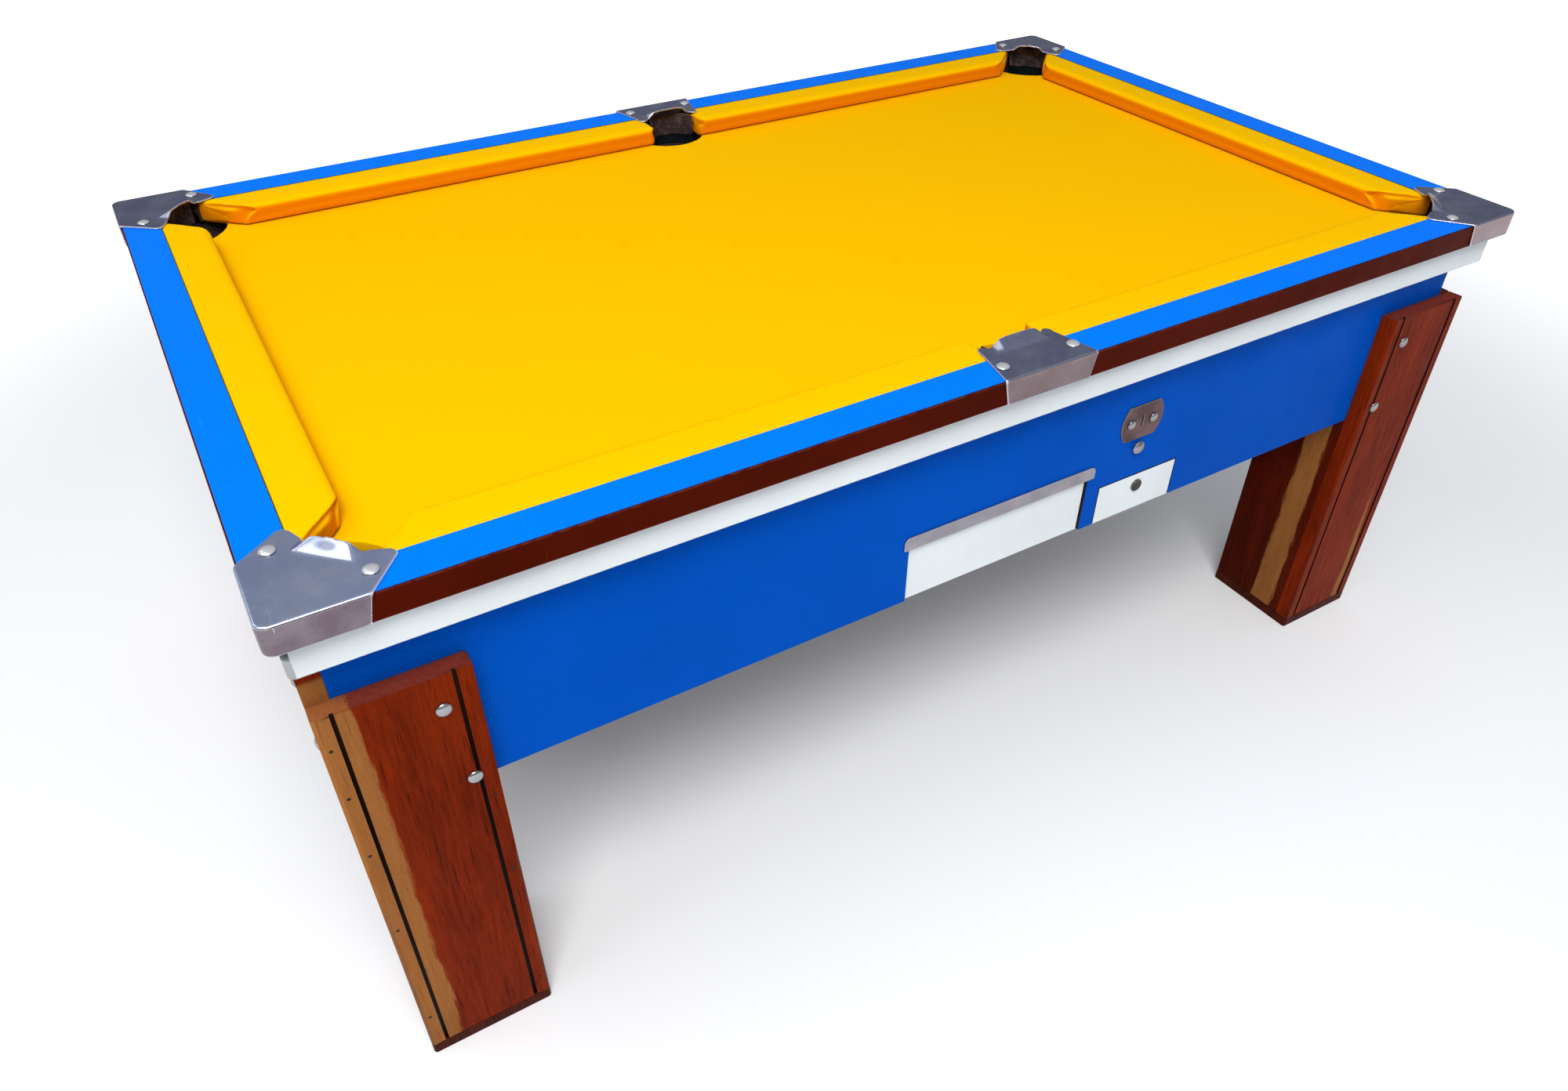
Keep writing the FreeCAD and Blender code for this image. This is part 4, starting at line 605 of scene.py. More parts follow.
def softened(name, node, material, slot, width, body="table", segments=3,
             share=None, marks=None, least=HOLE_STEP):
    """A copy of a CAD node with its edges rounded by width; marks are tests of its faces."""
    item = shown(name, merged_copy(node, share, least), material)
    item.data.materials.append(material)
    item.data.shade_smooth()
    modify(item, "BEVEL", width=width, segments=segments, limit_method="WEIGHT",
           use_clamp_overlap=False, miter_outer="MITER_ARC", material=1)
    modify(item, "WEIGHTED_NORMAL", weight=80)
    mesh = settle(item)
    strips = np.zeros(len(mesh.polygons), dtype=np.int32)
    mesh.polygons.foreach_get("material_index", strips)
    write_values(mesh, "edge", strips.astype(np.float32), "FACE")
    mesh.polygons.foreach_set("material_index", strips * 0)
    finish_with(mesh, material)
    for label, test in (marks or {}).items():
        values = [float(test(p.center, p.normal)) for p in mesh.polygons]
        write_values(mesh, label, values, "FACE")
    dressed(item, slot, node, body=body)


print("softened copies ready")

# %% [markdown]
# ## Rails, skirts and cabinet
# These are boards, so a small rounding is all the shape they need. The blue
# sheets on the rails are thin and keep a crisp edge; the brown rail edges are
# rounder, because many hands rest there. Their backs are marked as bare board,
# and the walls of the token slot and the cabinet seen down the pockets take the
# same dark colour as painted shade.

# %% Boards of the table
TOKEN_X, TOKEN_REACH, TOKEN_LOW, TOKEN_HIGH = 252.5, 45, 590, 700  # mm, round the token plate


def behind(reach_x, reach_y, low, tops=True):
    """A test for faces behind a board's outer face and over its lower edge, all in mm."""

    def test(middle, normal):
        within = abs(middle.x) < reach_x * MM and abs(middle.y) < reach_y * MM
        return within and middle.z > low * MM and (tops or normal.z < 0.5)

    return test


def cabinet_inside(middle, normal):
    """The cabinet's back faces, and the walls of the token slot and the holes round it."""
    x, z = middle.x / MM, middle.z / MM
    near = abs(x - TOKEN_X) < TOKEN_REACH and TOKEN_LOW < z < TOKEN_HIGH
    # Painted shade: the slot's walls and the tops seen down the pockets go dark.
    return (near and abs(normal.y) < 0.5) or behind(940, 552, 483)(middle, normal)


inside = {"inside": behind(970, 588, 0, tops=False)}
for side in ("front", "back", "left", "right"):
    name, node = f"rail_board_{side}", f"rail_{side}"
    softened(name, node, RAIL_BROWN, "rail_brown", 1.2 * MM, marks=inside)
softened("rail_laminate", "rail_tops", RAIL_BLUE, "rail_blue", 0.4 * MM, segments=2)
inside = {"inside": behind(958, 570, 759)}
for node in ("long_skirts", "end_skirts"):
    softened(f"{node}_boards", node, WHITE_BOARD, "skirt_white", 1.0 * MM, marks=inside)
inside = {"inside": cabinet_inside}
for node in ("apron_front", "apron_back", "end_aprons"):
    name = f"{node}_boards"
    softened(name, node, APRON_BLUE, "apron_blue", 0.5 * MM, segments=2, marks=inside)
print("rails, skirts and cabinet dressed")

# %% [markdown]
# ## Legs
# Each leg is a face board and the boards behind it. Its edges are the
# roundest on the table, but those of the grooves are cut by a saw and stay
# tight, so the rounding takes a small share there.

# %% Legs
FACE_GROOVES, FACE_DEPTH = ((810.6, 815.9), (943.1, 948.4)), (575.5, 579.9)  # mm
SIDE_GROOVE, SIDE_DEPTH, SIDE_FROM = (416.6, 421.9), (963.5, 967.9), 960
GROOVE_EDGE, GROOVE_SHARE = 0.6, 0.2


def between(value, span, margin=0.0):
    return span[0] - margin < value < span[1] + margin


def in_groove(middle, normal):
    x, y = abs(middle.x) / MM, abs(middle.y) / MM
    on_face = any(between(x, span) for span in FACE_GROOVES) and between(y, FACE_DEPTH)
    return on_face or (between(y, SIDE_GROOVE) and between(x, SIDE_DEPTH))


def groove_share(middle):
    x, y = abs(middle.x) / MM, abs(middle.y) / MM
    on_face = any(between(x, span, GROOVE_EDGE) for span in FACE_GROOVES)
    on_side = between(y, SIDE_GROOVE, GROOVE_EDGE) and x > SIDE_FROM
    return GROOVE_SHARE if on_face or on_side else 1.0


def sawn_end(middle, normal):
    return abs(normal.z) > 0.8


marks = {"groove": in_groove, "end": sawn_end}
for node, material in LEG_FINISHES.items():
    name = f"{node}_boards"
    softened(name, node, material, "leg_wood", 2.4 * MM, share=groove_share, marks=marks)
softened("leg_foot_boards", "leg_feet", FOOT_DARK, "foot_dark", 1.0 * MM, least=0.0)
print("legs dressed with", len(LEG_FINISHES), "board sets")

# %% [markdown]
# ## Pocket castings
# The caps were cast, filed and buffed, so their edges and folds are soft. A
# voxel remesh turns the CAD shape into an even skin, and smoothing takes the
# sharpness off as a buffing wheel does. How strongly the skin bends is kept as
# the "edge" attribute, which makes the bends brightest: partly the polish the
# wheel leaves there, partly a painted highlight. The top of each corner hood is
# darker in an oval, and the left flank of each side hood gets a painted
# highlight.


# %% Bends of a skin
def vectors(things, name):
    values = np.empty(len(things) * 3)
    things.foreach_get(name, values)
    return values.reshape(-1, 3)


def bend_of_skin(mesh):
    """How far each point stands out over its neighbours, evened out over a few rounds."""
    spots, normals = vectors(mesh.vertices, "co"), vectors(mesh.vertices, "normal")
    pairs = np.empty(len(mesh.edges) * 2, dtype=np.int32)
    mesh.edges.foreach_get("vertices", pairs)
    first, second = pairs.reshape(-1, 2).T

    def gathered(at_first, at_second):
        total = np.zeros(len(spots))
        np.add.at(total, first, at_first)
        np.add.at(total, second, at_second)
        return total

    step = spots[second] - spots[first]
    step /= np.maximum(np.linalg.norm(step, axis=1), 1e-9)[:, None]
    number = np.maximum(gathered(1, 1), 1)
    bend = gathered(-(step * normals[first]).sum(1), (step * normals[second]).sum(1)) / number
    for _ in range(4):
        bend = (bend + gathered(bend[second], bend[first]) / number) / 2
    return spots, normals, bend


def soft_step(values, low, high):
    share = np.clip((values - low) / (high - low), 0, 1)
    return share * share * (3 - 2 * share)


print("skins ready")

# %% Castings
CAP_CORNER, HOOD_IN, HOOD_OVAL = (982 * MM, 600 * MM), 123 * MM, (8 * MM, 19 * MM)
FLANK_FROM, FLANK_TO, FLANK_UP = (29, 33), (40, 44), (849, 852)  # mm to the left, and mm up


def corner_hood(spots):
    """How far a point lies from the middle of a corner hood's top: 1 on its oval."""
    x, y = CAP_CORNER[0] - np.abs(spots[:, 0]), CAP_CORNER[1] - np.abs(spots[:, 1])
    along, across = (x + y) / math.sqrt(2), (x - y) / math.sqrt(2)
    return np.hypot((along - HOOD_IN) / HOOD_OVAL[0], across / HOOD_OVAL[1])


def side_flank(spots):
    """1 on the left flank of a side hood, where a highlight is painted."""
    x, z = -spots[:, 0] / MM, spots[:, 2] / MM
    return soft_step(x, *FLANK_FROM) * (1 - soft_step(x, *FLANK_TO)) * soft_step(z, *FLANK_UP)


def casting(node, finish, hood_spot=None, flank=None):
    """A buffed skin over a cap: bends, upright faces, hood oval and painted flank highlight."""
    item = shown(f"{node}_casting", merged_copy(node), finish)
    modify(item, "REMESH", mode="VOXEL", voxel_size=1.15 * MM)
    modify(item, "SMOOTH", factor=0.5, iterations=18)
    mesh = settle(item)
    mesh.shade_smooth()
    finish_with(mesh, finish)
    spots, normals, bend = bend_of_skin(mesh)
    values = {
        "edge": soft_step(bend, 0.03, 0.15),
        "upright": 1 - soft_step(np.abs(normals[:, 2]), 0.35, 0.7),
    }
    # Painted highlight on the left flank of a side hood.
    if flank:
        values["edge"] = np.maximum(values["edge"], flank(spots))
    if hood_spot:
        values["dark_hood_oval"] = 1 - soft_step(hood_spot(spots), 0.35, 1.0)
    for label, numbers in values.items():
        write_values(mesh, label, numbers.astype(np.float32))
    dressed(item, "cap_aluminium", node)
    return len(mesh.polygons)


for end in ("front", "back"):
    for side in ("left", "right"):
        # All caps but the front left one take the darker copy as painted shade.
        finish = CAP_ALUMINIUM if (end, side) == ("front", "left") else SHADED_ALUMINIUM
        casting(f"corner_cap_{end}_{side}", finish, corner_hood)
    faces = casting(f"side_cap_{end}", SHADED_ALUMINIUM, flank=side_flank)
    print(f"{end} castings, the last with {faces} faces")

# %% [markdown]
# ## Front fittings
# The drawer's front, the coin door, the lock and the token plate are softened
# like the boards, and each rides on the body that its joint moves. The spring
# behind the token button is a copy of the CAD coil.


# %% Drawer, coin door, token plate
def sawn_side(middle, normal):
    return abs(normal.y) < 0.5


marks = {"inside": sawn_side}
for name, node, body in (
    ("drawer_front_board", "drawer_front", "ball_drawer"),
    ("coin_door_board", "coin_door", "coin_door"),
):
    softened(name, node, WHITE_BOARD, "skirt_white", 0.8 * MM, body, marks=marks)
for name, node, material, slot, body in (
    ("drawer_pull_strip", "drawer_pull", PULL_ALUMINIUM, "pull_aluminium", "ball_drawer"),
    ("coin_lock_barrel", "coin_lock", LOCK_DARK, "lock_dark", "coin_lock"),
    ("token_slot_plate", "token_plate", PLATE_STEEL, "plate_steel", "table"),
):
    softened(name, node, material, slot, 0.5 * MM, body, segments=2, least=0.0)
print("front fittings dressed")

# %% Return spring
coil = shown("button_return_coil", merged_copy("button_spring"), ZINC_STEEL)
spots = vectors(coil.data.vertices, "co")
dressed(coil, "zinc_steel", "button_spring")
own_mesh(coil)

# %% [markdown]
# ## Cushions
# A pool cushion is a rubber wedge with cloth pulled tight over it: a crowned
# top, a rounded nose, and a face that draws in towards the bed. At the pocket
# ends the cloth is folded round, with soft edges and small folds. The form is
# lofted from one profile, so its long lines stay true, and then a short cloth
# simulation with pressure fills it out.

# %% Cushion profile
CUSHION_WIDTH, CUSHION_HEIGHT = 66 * MM, 34.7 * MM
NOSE_HEIGHT, CORNER_ROUND = 26 * MM, 44 * MM


def run(start, end, count):
    """Points in even steps from start, without the end."""
    start, end = np.array(start), np.array(end)
    return [tuple(start + (end - start) * k / count) for k in range(count)]


def cushion_profile():
    """Points of depth from the rail and height over the bed, once round, from the back's foot."""
    back, low, top = 0.3 * MM, 0.2 * MM, CUSHION_HEIGHT
    points = run((back, low), (back, top - 2.2 * MM), 4)
    points += [(back + 0.5 * MM, top - 0.7 * MM), (back + 2.0 * MM, top - 0.9 * MM)]
    for depth in np.linspace(6, 56, 11) * MM:
        crown = 1.0 * MM * math.sin(math.pi * depth / CUSHION_WIDTH)
        points.append((depth, top - 1.1 * MM + crown))
    for degrees in (70, 50, 30, 12):
        bend = math.radians(degrees)
        depth = 57.4 * MM + 8.4 * MM * math.cos(bend)
        points.append((depth, NOSE_HEIGHT - 0.2 * MM + 7.6 * MM * math.sin(bend)))
    points += run((65.7 * MM, NOSE_HEIGHT - 1 * MM), (57.6 * MM, 1.6 * MM), 7)
    points += [(57.0 * MM, 0.5 * MM), (55.4 * MM, low)]
    return points + run((52 * MM, low), (4 * MM, low), 8)


PROFILE = cushion_profile()
print("cushion profile has", len(PROFILE), "points")


# %% Pocket ends
def throat_reach(depth, back_end):
    """How far an end at a corner pocket reaches at a depth: a 45 degree cut with a round nose."""
    centre = back_end - CUSHION_WIDTH - CORNER_ROUND * (math.sqrt(2) - 1)
    drop = depth - (CUSHION_WIDTH - CORNER_ROUND)
    if drop > CORNER_ROUND * math.sin(QUARTER / 2):
        return centre + math.sqrt(max(CORNER_ROUND**2 - drop**2, 0.0))
    return back_end - depth


def side_reach(depth, square_end):
    """A square end at a side pocket, with a small round at the nose."""
    small = 8 * MM
    drop = max(depth - (CUSHION_WIDTH - small), 0.0)
    return square_end - small + math.sqrt(max(small**2 - drop**2, 0.0))


def end_rounding(inset, radius):
    """How much the profile draws in at a distance from the end, as cloth does round a fold."""
    lack = max(radius - inset, 0.0)
    return radius - math.sqrt(max(radius**2 - lack**2, 0.0))


print("pocket ends ready")

# %% Cushion loft
END_ROWS = [inset * MM for inset in (0.0, 0.5, 1.3, 2.4, 4, 6, 8.5, 12, 17)]
FOLD_ROUND, ROW_STEP = 6.5 * MM, 9 * MM
DRAW_IN, DRAW_DOWN = 1.2, 0.9  # how strongly a fold narrows and lowers the profile


def bridge(form, first, second):
    for j in range(len(first)):
        k = (j + 1) % len(first)
        form.faces.new((first[j], first[k], second[k], second[j]))


def close_end(form, row, reach):
    """Rings that shrink to the middle of an end, all on the pocket's cut."""
    depth = sum(v.co.y for v in row) / len(row)
    height = sum(v.co.z for v in row) / len(row)
    ring = row
    for share in (0.75, 0.5, 0.25):
        inner = []
        for v in row:
            y = depth + (v.co.y - depth) * share
            z = height + (v.co.z - height) * share
            inner.append(form.verts.new((reach(y), y, z)))
        bridge(form, ring, inner)
        ring = inner
    middle = form.verts.new((reach(depth), depth, height))
    for j in range(len(row)):
        form.faces.new((ring[j], ring[(j + 1) % len(row)], middle))


def loft_cushion(name, low_reach, high_reach):
    """Rows of the profile along X between two reaches, closed at both ends."""
    form = bmesh.new()
    rows = []

    def add_row(place, inset):
        drawn = end_rounding(inset, FOLD_ROUND)
        share = 1 - drawn / CUSHION_WIDTH * DRAW_IN
        lower = 1 - drawn / CUSHION_HEIGHT * DRAW_DOWN
        rows.append([form.verts.new((place(d), d * share, h * lower)) for d, h in PROFILE])

    for inset in END_ROWS:
        add_row(lambda d: low_reach(d) + inset, inset)
    last = END_ROWS[-1]
    count = int(round((high_reach(0) - low_reach(0)) / ROW_STEP))
    for k in range(1, count):
        u = k / count
        add_row(lambda d: (1 - u) * (low_reach(d) + last) + u * (high_reach(d) - last), last)
    for inset in reversed(END_ROWS):
        add_row(lambda d: high_reach(d) - inset, inset)
    for first, second in zip(rows, rows[1:]):
        bridge(form, first, second)
    close_end(form, rows[0], low_reach)
    close_end(form, rows[-1], high_reach)
    return finished(form, name)


print("cushion loft ready")

# %% Filling out a cushion
FILL_FRAMES, FILL_CAP = 14, 0.9 * MM


def filled_out(item):
    """A short cloth simulation with pressure, held at the rail and the bed, its moves capped."""
    mesh = item.data
    rest = vectors(mesh.vertices, "co")
    held = item.vertex_groups.new(name="held")
    fixed = [i for i, (x, y, z) in enumerate(rest) if y < 3 * MM or z < 2 * MM]
    held.add(fixed, 1.0, "REPLACE")
    cloth = item.modifiers.new("filling", "CLOTH")
    cloth.settings.use_pressure = True
    cloth.settings.uniform_pressure_force = 4.0
    cloth.settings.vertex_group_mass = "held"
    cloth.settings.quality = 5
    cloth.settings.effector_weights.gravity = 0
    cloth.collision_settings.use_collision = False
    cloth.point_cache.frame_end = FILL_FRAMES
    scene = bpy.context.scene
    for step in range(1, FILL_FRAMES + 1):
        scene.frame_set(step)
    soft = item.evaluated_get(bpy.context.evaluated_depsgraph_get())
    shift = vectors(soft.to_mesh().vertices, "co") - rest
    soft.to_mesh_clear()
    scene.frame_set(1)
    item.modifiers.clear()
    item.vertex_groups.clear()
    length = np.linalg.norm(shift, axis=1)
    scale = np.where(length > 1e-9, np.minimum(length, FILL_CAP) / np.maximum(length, 1e-9), 0)
    mesh.vertices.foreach_set("co", (rest + shift * scale[:, None]).ravel())
    mesh.update()
    return float(length.max())


FOLD_REACH, FOLD_HEIGHT, WAVE_HEIGHT, MID_DEPTH = 60 * MM, 0.45 * MM, 0.35 * MM, 30 * MM


def folds_at_ends(mesh, ends):
    """Small folds where the cloth goes round a pocket end, and a faint waviness elsewhere."""
    for vertex in mesh.vertices:
        x, y, z = vertex.co
        off_rail = min(max((y - 6 * MM) / (20 * MM), 0), 1)
        off_bed = min(max((z - 3 * MM) / (10 * MM), 0), 1)
        push = WAVE_HEIGHT * noise.noise(Vector((x * 9, y * 30, z * 30)))
        near = min(abs(x - end) for end in ends)
        if near < FOLD_REACH:
            fade = (1 - near / FOLD_REACH) ** 2
            push += FOLD_HEIGHT * (math.sin(near / MM * 0.42 + y / MM * 0.35) * fade)
        vertex.co += vertex.normal * push * (off_rail * off_bed)
    mesh.update()


print("filling ready")

# %% [markdown]
# The six cushions come from two lofts: a long one between a corner pocket and
# a side pocket, and an end one between two corner pockets. Each is turned and
# mirrored into its place, with its faces turned out again after the mirror.

# %% Places of the cushions
RAIL_X, RAIL_Y, SIDE_END = 927 * MM, 545 * MM, 48 * MM
LONG_END = RAIL_X - 46 * MM * math.sqrt(2)
SHORT_END = RAIL_Y - 39 * MM * math.sqrt(2)
LONG = (lambda d: 2 * SIDE_END - side_reach(d, SIDE_END)), (lambda d: throat_reach(d, LONG_END))
SHORT = (lambda d: -throat_reach(d, SHORT_END)), (lambda d: throat_reach(d, SHORT_END))
PLACES = {
    "front_right": (LONG, lambda x, y: (x, y - RAIL_Y)),
    "front_left": (LONG, lambda x, y: (-x, y - RAIL_Y)),
    "back_right": (LONG, lambda x, y: (x, RAIL_Y - y)),
    "back_left": (LONG, lambda x, y: (-x, RAIL_Y - y)),
    "right": (SHORT, lambda x, y: (RAIL_X - y, x)),
    "left": (SHORT, lambda x, y: (y - RAIL_X, -x)),
}
print("cushions have", len(PLACES), "places")

# %% Six cushions
for name, ((low, high), put) in PLACES.items():
    mesh = loft_cushion(f"cushion_pad_{name}", low, high)
    pad = shown(f"cushion_pad_{name}", mesh, CUSHION_CLOTH)
    swelled = filled_out(pad)
    folds_at_ends(mesh, (low(MID_DEPTH), high(MID_DEPTH)))
    for vertex in mesh.vertices:
        x, y, z = vertex.co
        vertex.co = (*put(x, y), min(z, CUSHION_HEIGHT + 0.2 * MM) + CLOTH_TOP)
    form = bmesh.new()
    form.from_mesh(mesh)
    pad.data = finished(form, pad.name)
    finish_with(pad.data, CUSHION_CLOTH)
    pad.data.shade_smooth()
    modify(pad, "SUBSURF", levels=1, render_levels=1)
    mesh = settle(pad)
    # Steep faces are marked for the cloth's painted shade.
    steep = [min(max((0.75 - v.normal.z) / 0.5, 0.0), 1.0) for v in mesh.vertices]
    write_values(mesh, "upright", steep)
    dressed(pad, "cushion_cloth", f"cushion_{name}")
    print(pad.name, "swelled by", round(swelled / MM, 2), "mm before the cap")

# %% [markdown]
# ## Bed cloth
# The bed cloth is one sheet, stretched flat over the slab and cut round the
# pockets. It is a fine grid whose cells are cleared inside the pocket scoops;
# the rim is snapped onto the scoop's circle and drawn down as a rolled lip. At
# the corner pockets it is cut tighter than the slab, so its lip hides the edge
# of the slab.

# %% Cut of the cloth
BOTH = (-1, 1)
CORNERS = [(sx, sy) for sx in BOTH for sy in BOTH]
SCOOPS = [(sx * 912 * MM, sy * 530 * MM, 87 * MM) for sx, sy in CORNERS]
SCOOPS += [(0.0, sy * 530 * MM, 68 * MM) for sy in BOTH]
CELL = 9 * MM
SNAP_OUT, SNAP_IN = 0.45 * CELL, 0.75 * CELL


def snapped(x, y):
    """A grid point, put on a scoop's circle where it lies near it; None inside a scoop."""
    for cx, cy, radius in SCOOPS:
        away = math.hypot(x - cx, y - cy)
        if 1e-6 < away < radius + SNAP_OUT:
            if away <= radius - SNAP_IN:
                return None
            return cx + (x - cx) * radius / away, cy + (y - cy) * radius / away
    return x, y


def cloth_sheet():
    form = bmesh.new()
    columns, rows = int(round(2 * RAIL_X / CELL)), int(round(2 * RAIL_Y / CELL))
    grid = {}
    for i in range(columns + 1):
        for j in range(rows + 1):
            x = -RAIL_X + 2 * RAIL_X * i / columns
            y = -RAIL_Y + 2 * RAIL_Y * j / rows
            place = snapped(x, y)
            if place:
                grid[i, j] = form.verts.new((*place, CLOTH_TOP))
    for i in range(columns):
        for j in range(rows):
            keys = ((i, j), (i + 1, j), (i + 1, j + 1), (i, j + 1))
            corners = [grid[key] for key in keys if key in grid]
            if len(corners) >= 3:
                form.faces.new(corners)
    return form


print("cloth is cut round", len(SCOOPS), "scoops")

# %% Bed cloth
LIP = ((0.35, 0.15), (0.35, 0.5), (0.25, 1.2), (0.1, 8.0), (0.0, 14.0))  # mm in, mm down
CLOTH_THICK, ON_RIM = 0.9 * MM, 1.6 * MM


def scoop_at(point):
    for cx, cy, radius in SCOOPS:
        if abs(math.hypot(point.x - cx, point.y - cy) - radius) < ON_RIM:
            return cx, cy
    return None


def turn_down(form):
    """Draws the rim at each scoop down over the slab's edge."""
    rim = [e for e in form.edges if e.is_boundary and all(scoop_at(v.co) for v in e.verts)]
    for step, drop in LIP:
        made = bmesh.ops.extrude_edge_only(form, edges=rim)["geom"]
        verts = {v for v in made if isinstance(v, bmesh.types.BMVert)}
        edges = [e for e in made if isinstance(e, bmesh.types.BMEdge) and e.is_boundary]
        rim = [e for e in edges if all(v in verts for v in e.verts)]
        for v in verts:
            cx, cy = scoop_at(v.co)
            way = Vector((cx - v.co.x, cy - v.co.y, 0)).normalized()
            v.co += way * step * MM - Vector((0, 0, drop * MM))


form = cloth_sheet()
turn_down(form)
mesh = finished(form, "stretched_bed_cloth")
if mesh.polygons[0].normal.z < 0:
    mesh.flip_normals()
bed = shown("stretched_bed_cloth", mesh, BED_CLOTH)
mesh.shade_smooth()
modify(bed, "SOLIDIFY", thickness=CLOTH_THICK, offset=-1)
settle(bed)
dressed(bed, "bed_cloth", "bed_cloth")

# %% [markdown]
# ## Pocket liners
# The pockets are lined with thick dark leather, bent round the hole and nailed
# under the cap. Bent leather stays a little uneven, so the wall is a grid bent
# round the pocket, pushed in and out by noise, thickened and smoothed. Balls
# rub its middle. Below it a dark rubber band closes the edge of the bed; its
# near-black colour is partly the rubber's own and partly painted shade from
# deep in the pocket.

# %% Leather and rubber
LEATHER, t, place = new_finish("pocket leather", Specular_IOR_Level=0.3)
inputs = {"Vector": place, "Scale": 420}
grain = t.add("ShaderNodeTexVoronoi", inputs, feature="DISTANCE_TO_EDGE").outputs["Distance"]
patch = t.band(t.noise(place, 30, 6, 0.7), 0.45, 0.70)
streak = t.band(t.noise(place, (60, 60, 220), 3, 0.6), 0.55, 0.75)
rubbed = t.times(t.most(patch, t.times(streak, 0.6)), 0.75)
t.give(
    Base_Color=t.mix(rubbed, linear(62, 46, 46), linear(140, 120, 116)),
    Roughness=t.band(patch, 0, 1, 0.5, 0.8),
)
t.bump(t.plus(t.times(grain, 3.0), t.noise(place, 70, 3)), 0.35, 0.6 * MM)
# The band's near-black is partly the rubber's own colour and partly painted shade from deep in
# the pocket.
RUBBER, t, place = new_finish("dark rubber band", Specular_IOR_Level=0.4)
t.give(
    Base_Color=t.mix(t.noise(place, 40, 4), linear(6, 12, 14), linear(22, 34, 38)),
    Roughness=t.band(t.noise(place, 90, 3), 0.3, 0.7, 0.25, 0.5),
)
print("leather and rubber finishes ready")

# %% Liners
WALL_COLUMNS, WALL_ROWS = 44, 12


def bent_wall(form, centre, facing, sweep, radius, low, high, uneven, lift=0.0):
    """A grid round a pocket, uneven as bent leather is, its lower corners lifted."""
    grid = []
    for i in range(WALL_COLUMNS + 1):
        turn = math.radians(facing - sweep / 2 + sweep * i / WALL_COLUMNS)
        c, s = math.cos(turn), math.sin(turn)
        foot = low + lift * abs(2 * i / WALL_COLUMNS - 1) ** 4
        line = []
        for j in range(WALL_ROWS + 1):
            z = foot + (high - foot) * j / WALL_ROWS
            spot = Vector((c * 2 + centre[0] * 9, s * 2 + centre[1] * 9, z * 40))
            reach = radius + uneven * noise.noise(spot)
            line.append(form.verts.new((centre[0] + reach * c, centre[1] + reach * s, z)))
        grid.append(line)
    for line, after in zip(grid, grid[1:]):
        for j in range(WALL_ROWS):
            form.faces.new((line[j], line[j + 1], after[j + 1], after[j]))


def liner_piece(name, node, pockets, material, thickness, **wall):
    form = bmesh.new()
    for centre, facing in pockets:
        bent_wall(form, centre, facing, **wall)
    mesh = finished(form, name)
    mesh.shade_smooth()
    item = shown(name, mesh, material)
    modify(item, "SOLIDIFY", thickness=thickness, offset=0)
    modify(item, "SUBSURF", levels=1, render_levels=1)
    settle(item)
    dressed(item, "liner_leather", node)


POCKET_X, POCKET_Y = 889 * MM, 507 * MM
corners = [
    ((sx * POCKET_X, sy * POCKET_Y), math.degrees(math.atan2(sy, sx))) for sx, sy in CORNERS
]
sides = [((0.0, sy * POCKET_Y), 90 * sy) for sy in BOTH]
flap = {"radius": 42.9 * MM, "low": 801.6 * MM, "high": 844.2 * MM,
        "uneven": 0.5 * MM, "lift": 7 * MM}
band = {"radius": 44.5 * MM, "low": 785.2 * MM, "high": 806 * MM, "uneven": 0.0}
for name, pockets, sweep in (("corner", corners, 134), ("side", sides, 178)):
    node = f"{name}_pocket_liners"
    liner_piece(f"{name}_pocket_leathers", node, pockets, LEATHER, 1.8 * MM, sweep=sweep, **flap)
    liner_piece(f"{name}_pocket_bands", node, pockets, RUBBER, 0.7 * MM, sweep=sweep, **band)
print("liners bent round", len(corners) + len(sides), "pockets")

# %% [markdown]
# ## Dome heads
# The same low dome holds the caps, the legs and the token plate, and a nearly
# flat one makes the nails. That is work for Geometry Nodes: one tree takes
# points with a "facing" and a "size", puts a dome on each, and makes the
# result real. The dome is a sphere whose lower half is pressed flat, so it is
# a closed form, with a painted shadow marked round its foot.

# %% Dome tree
GEOMETRY, FOOT_FLAT, FOOT_SHADOW_TOP = "NodeSocketGeometry", 0.02, 0.43


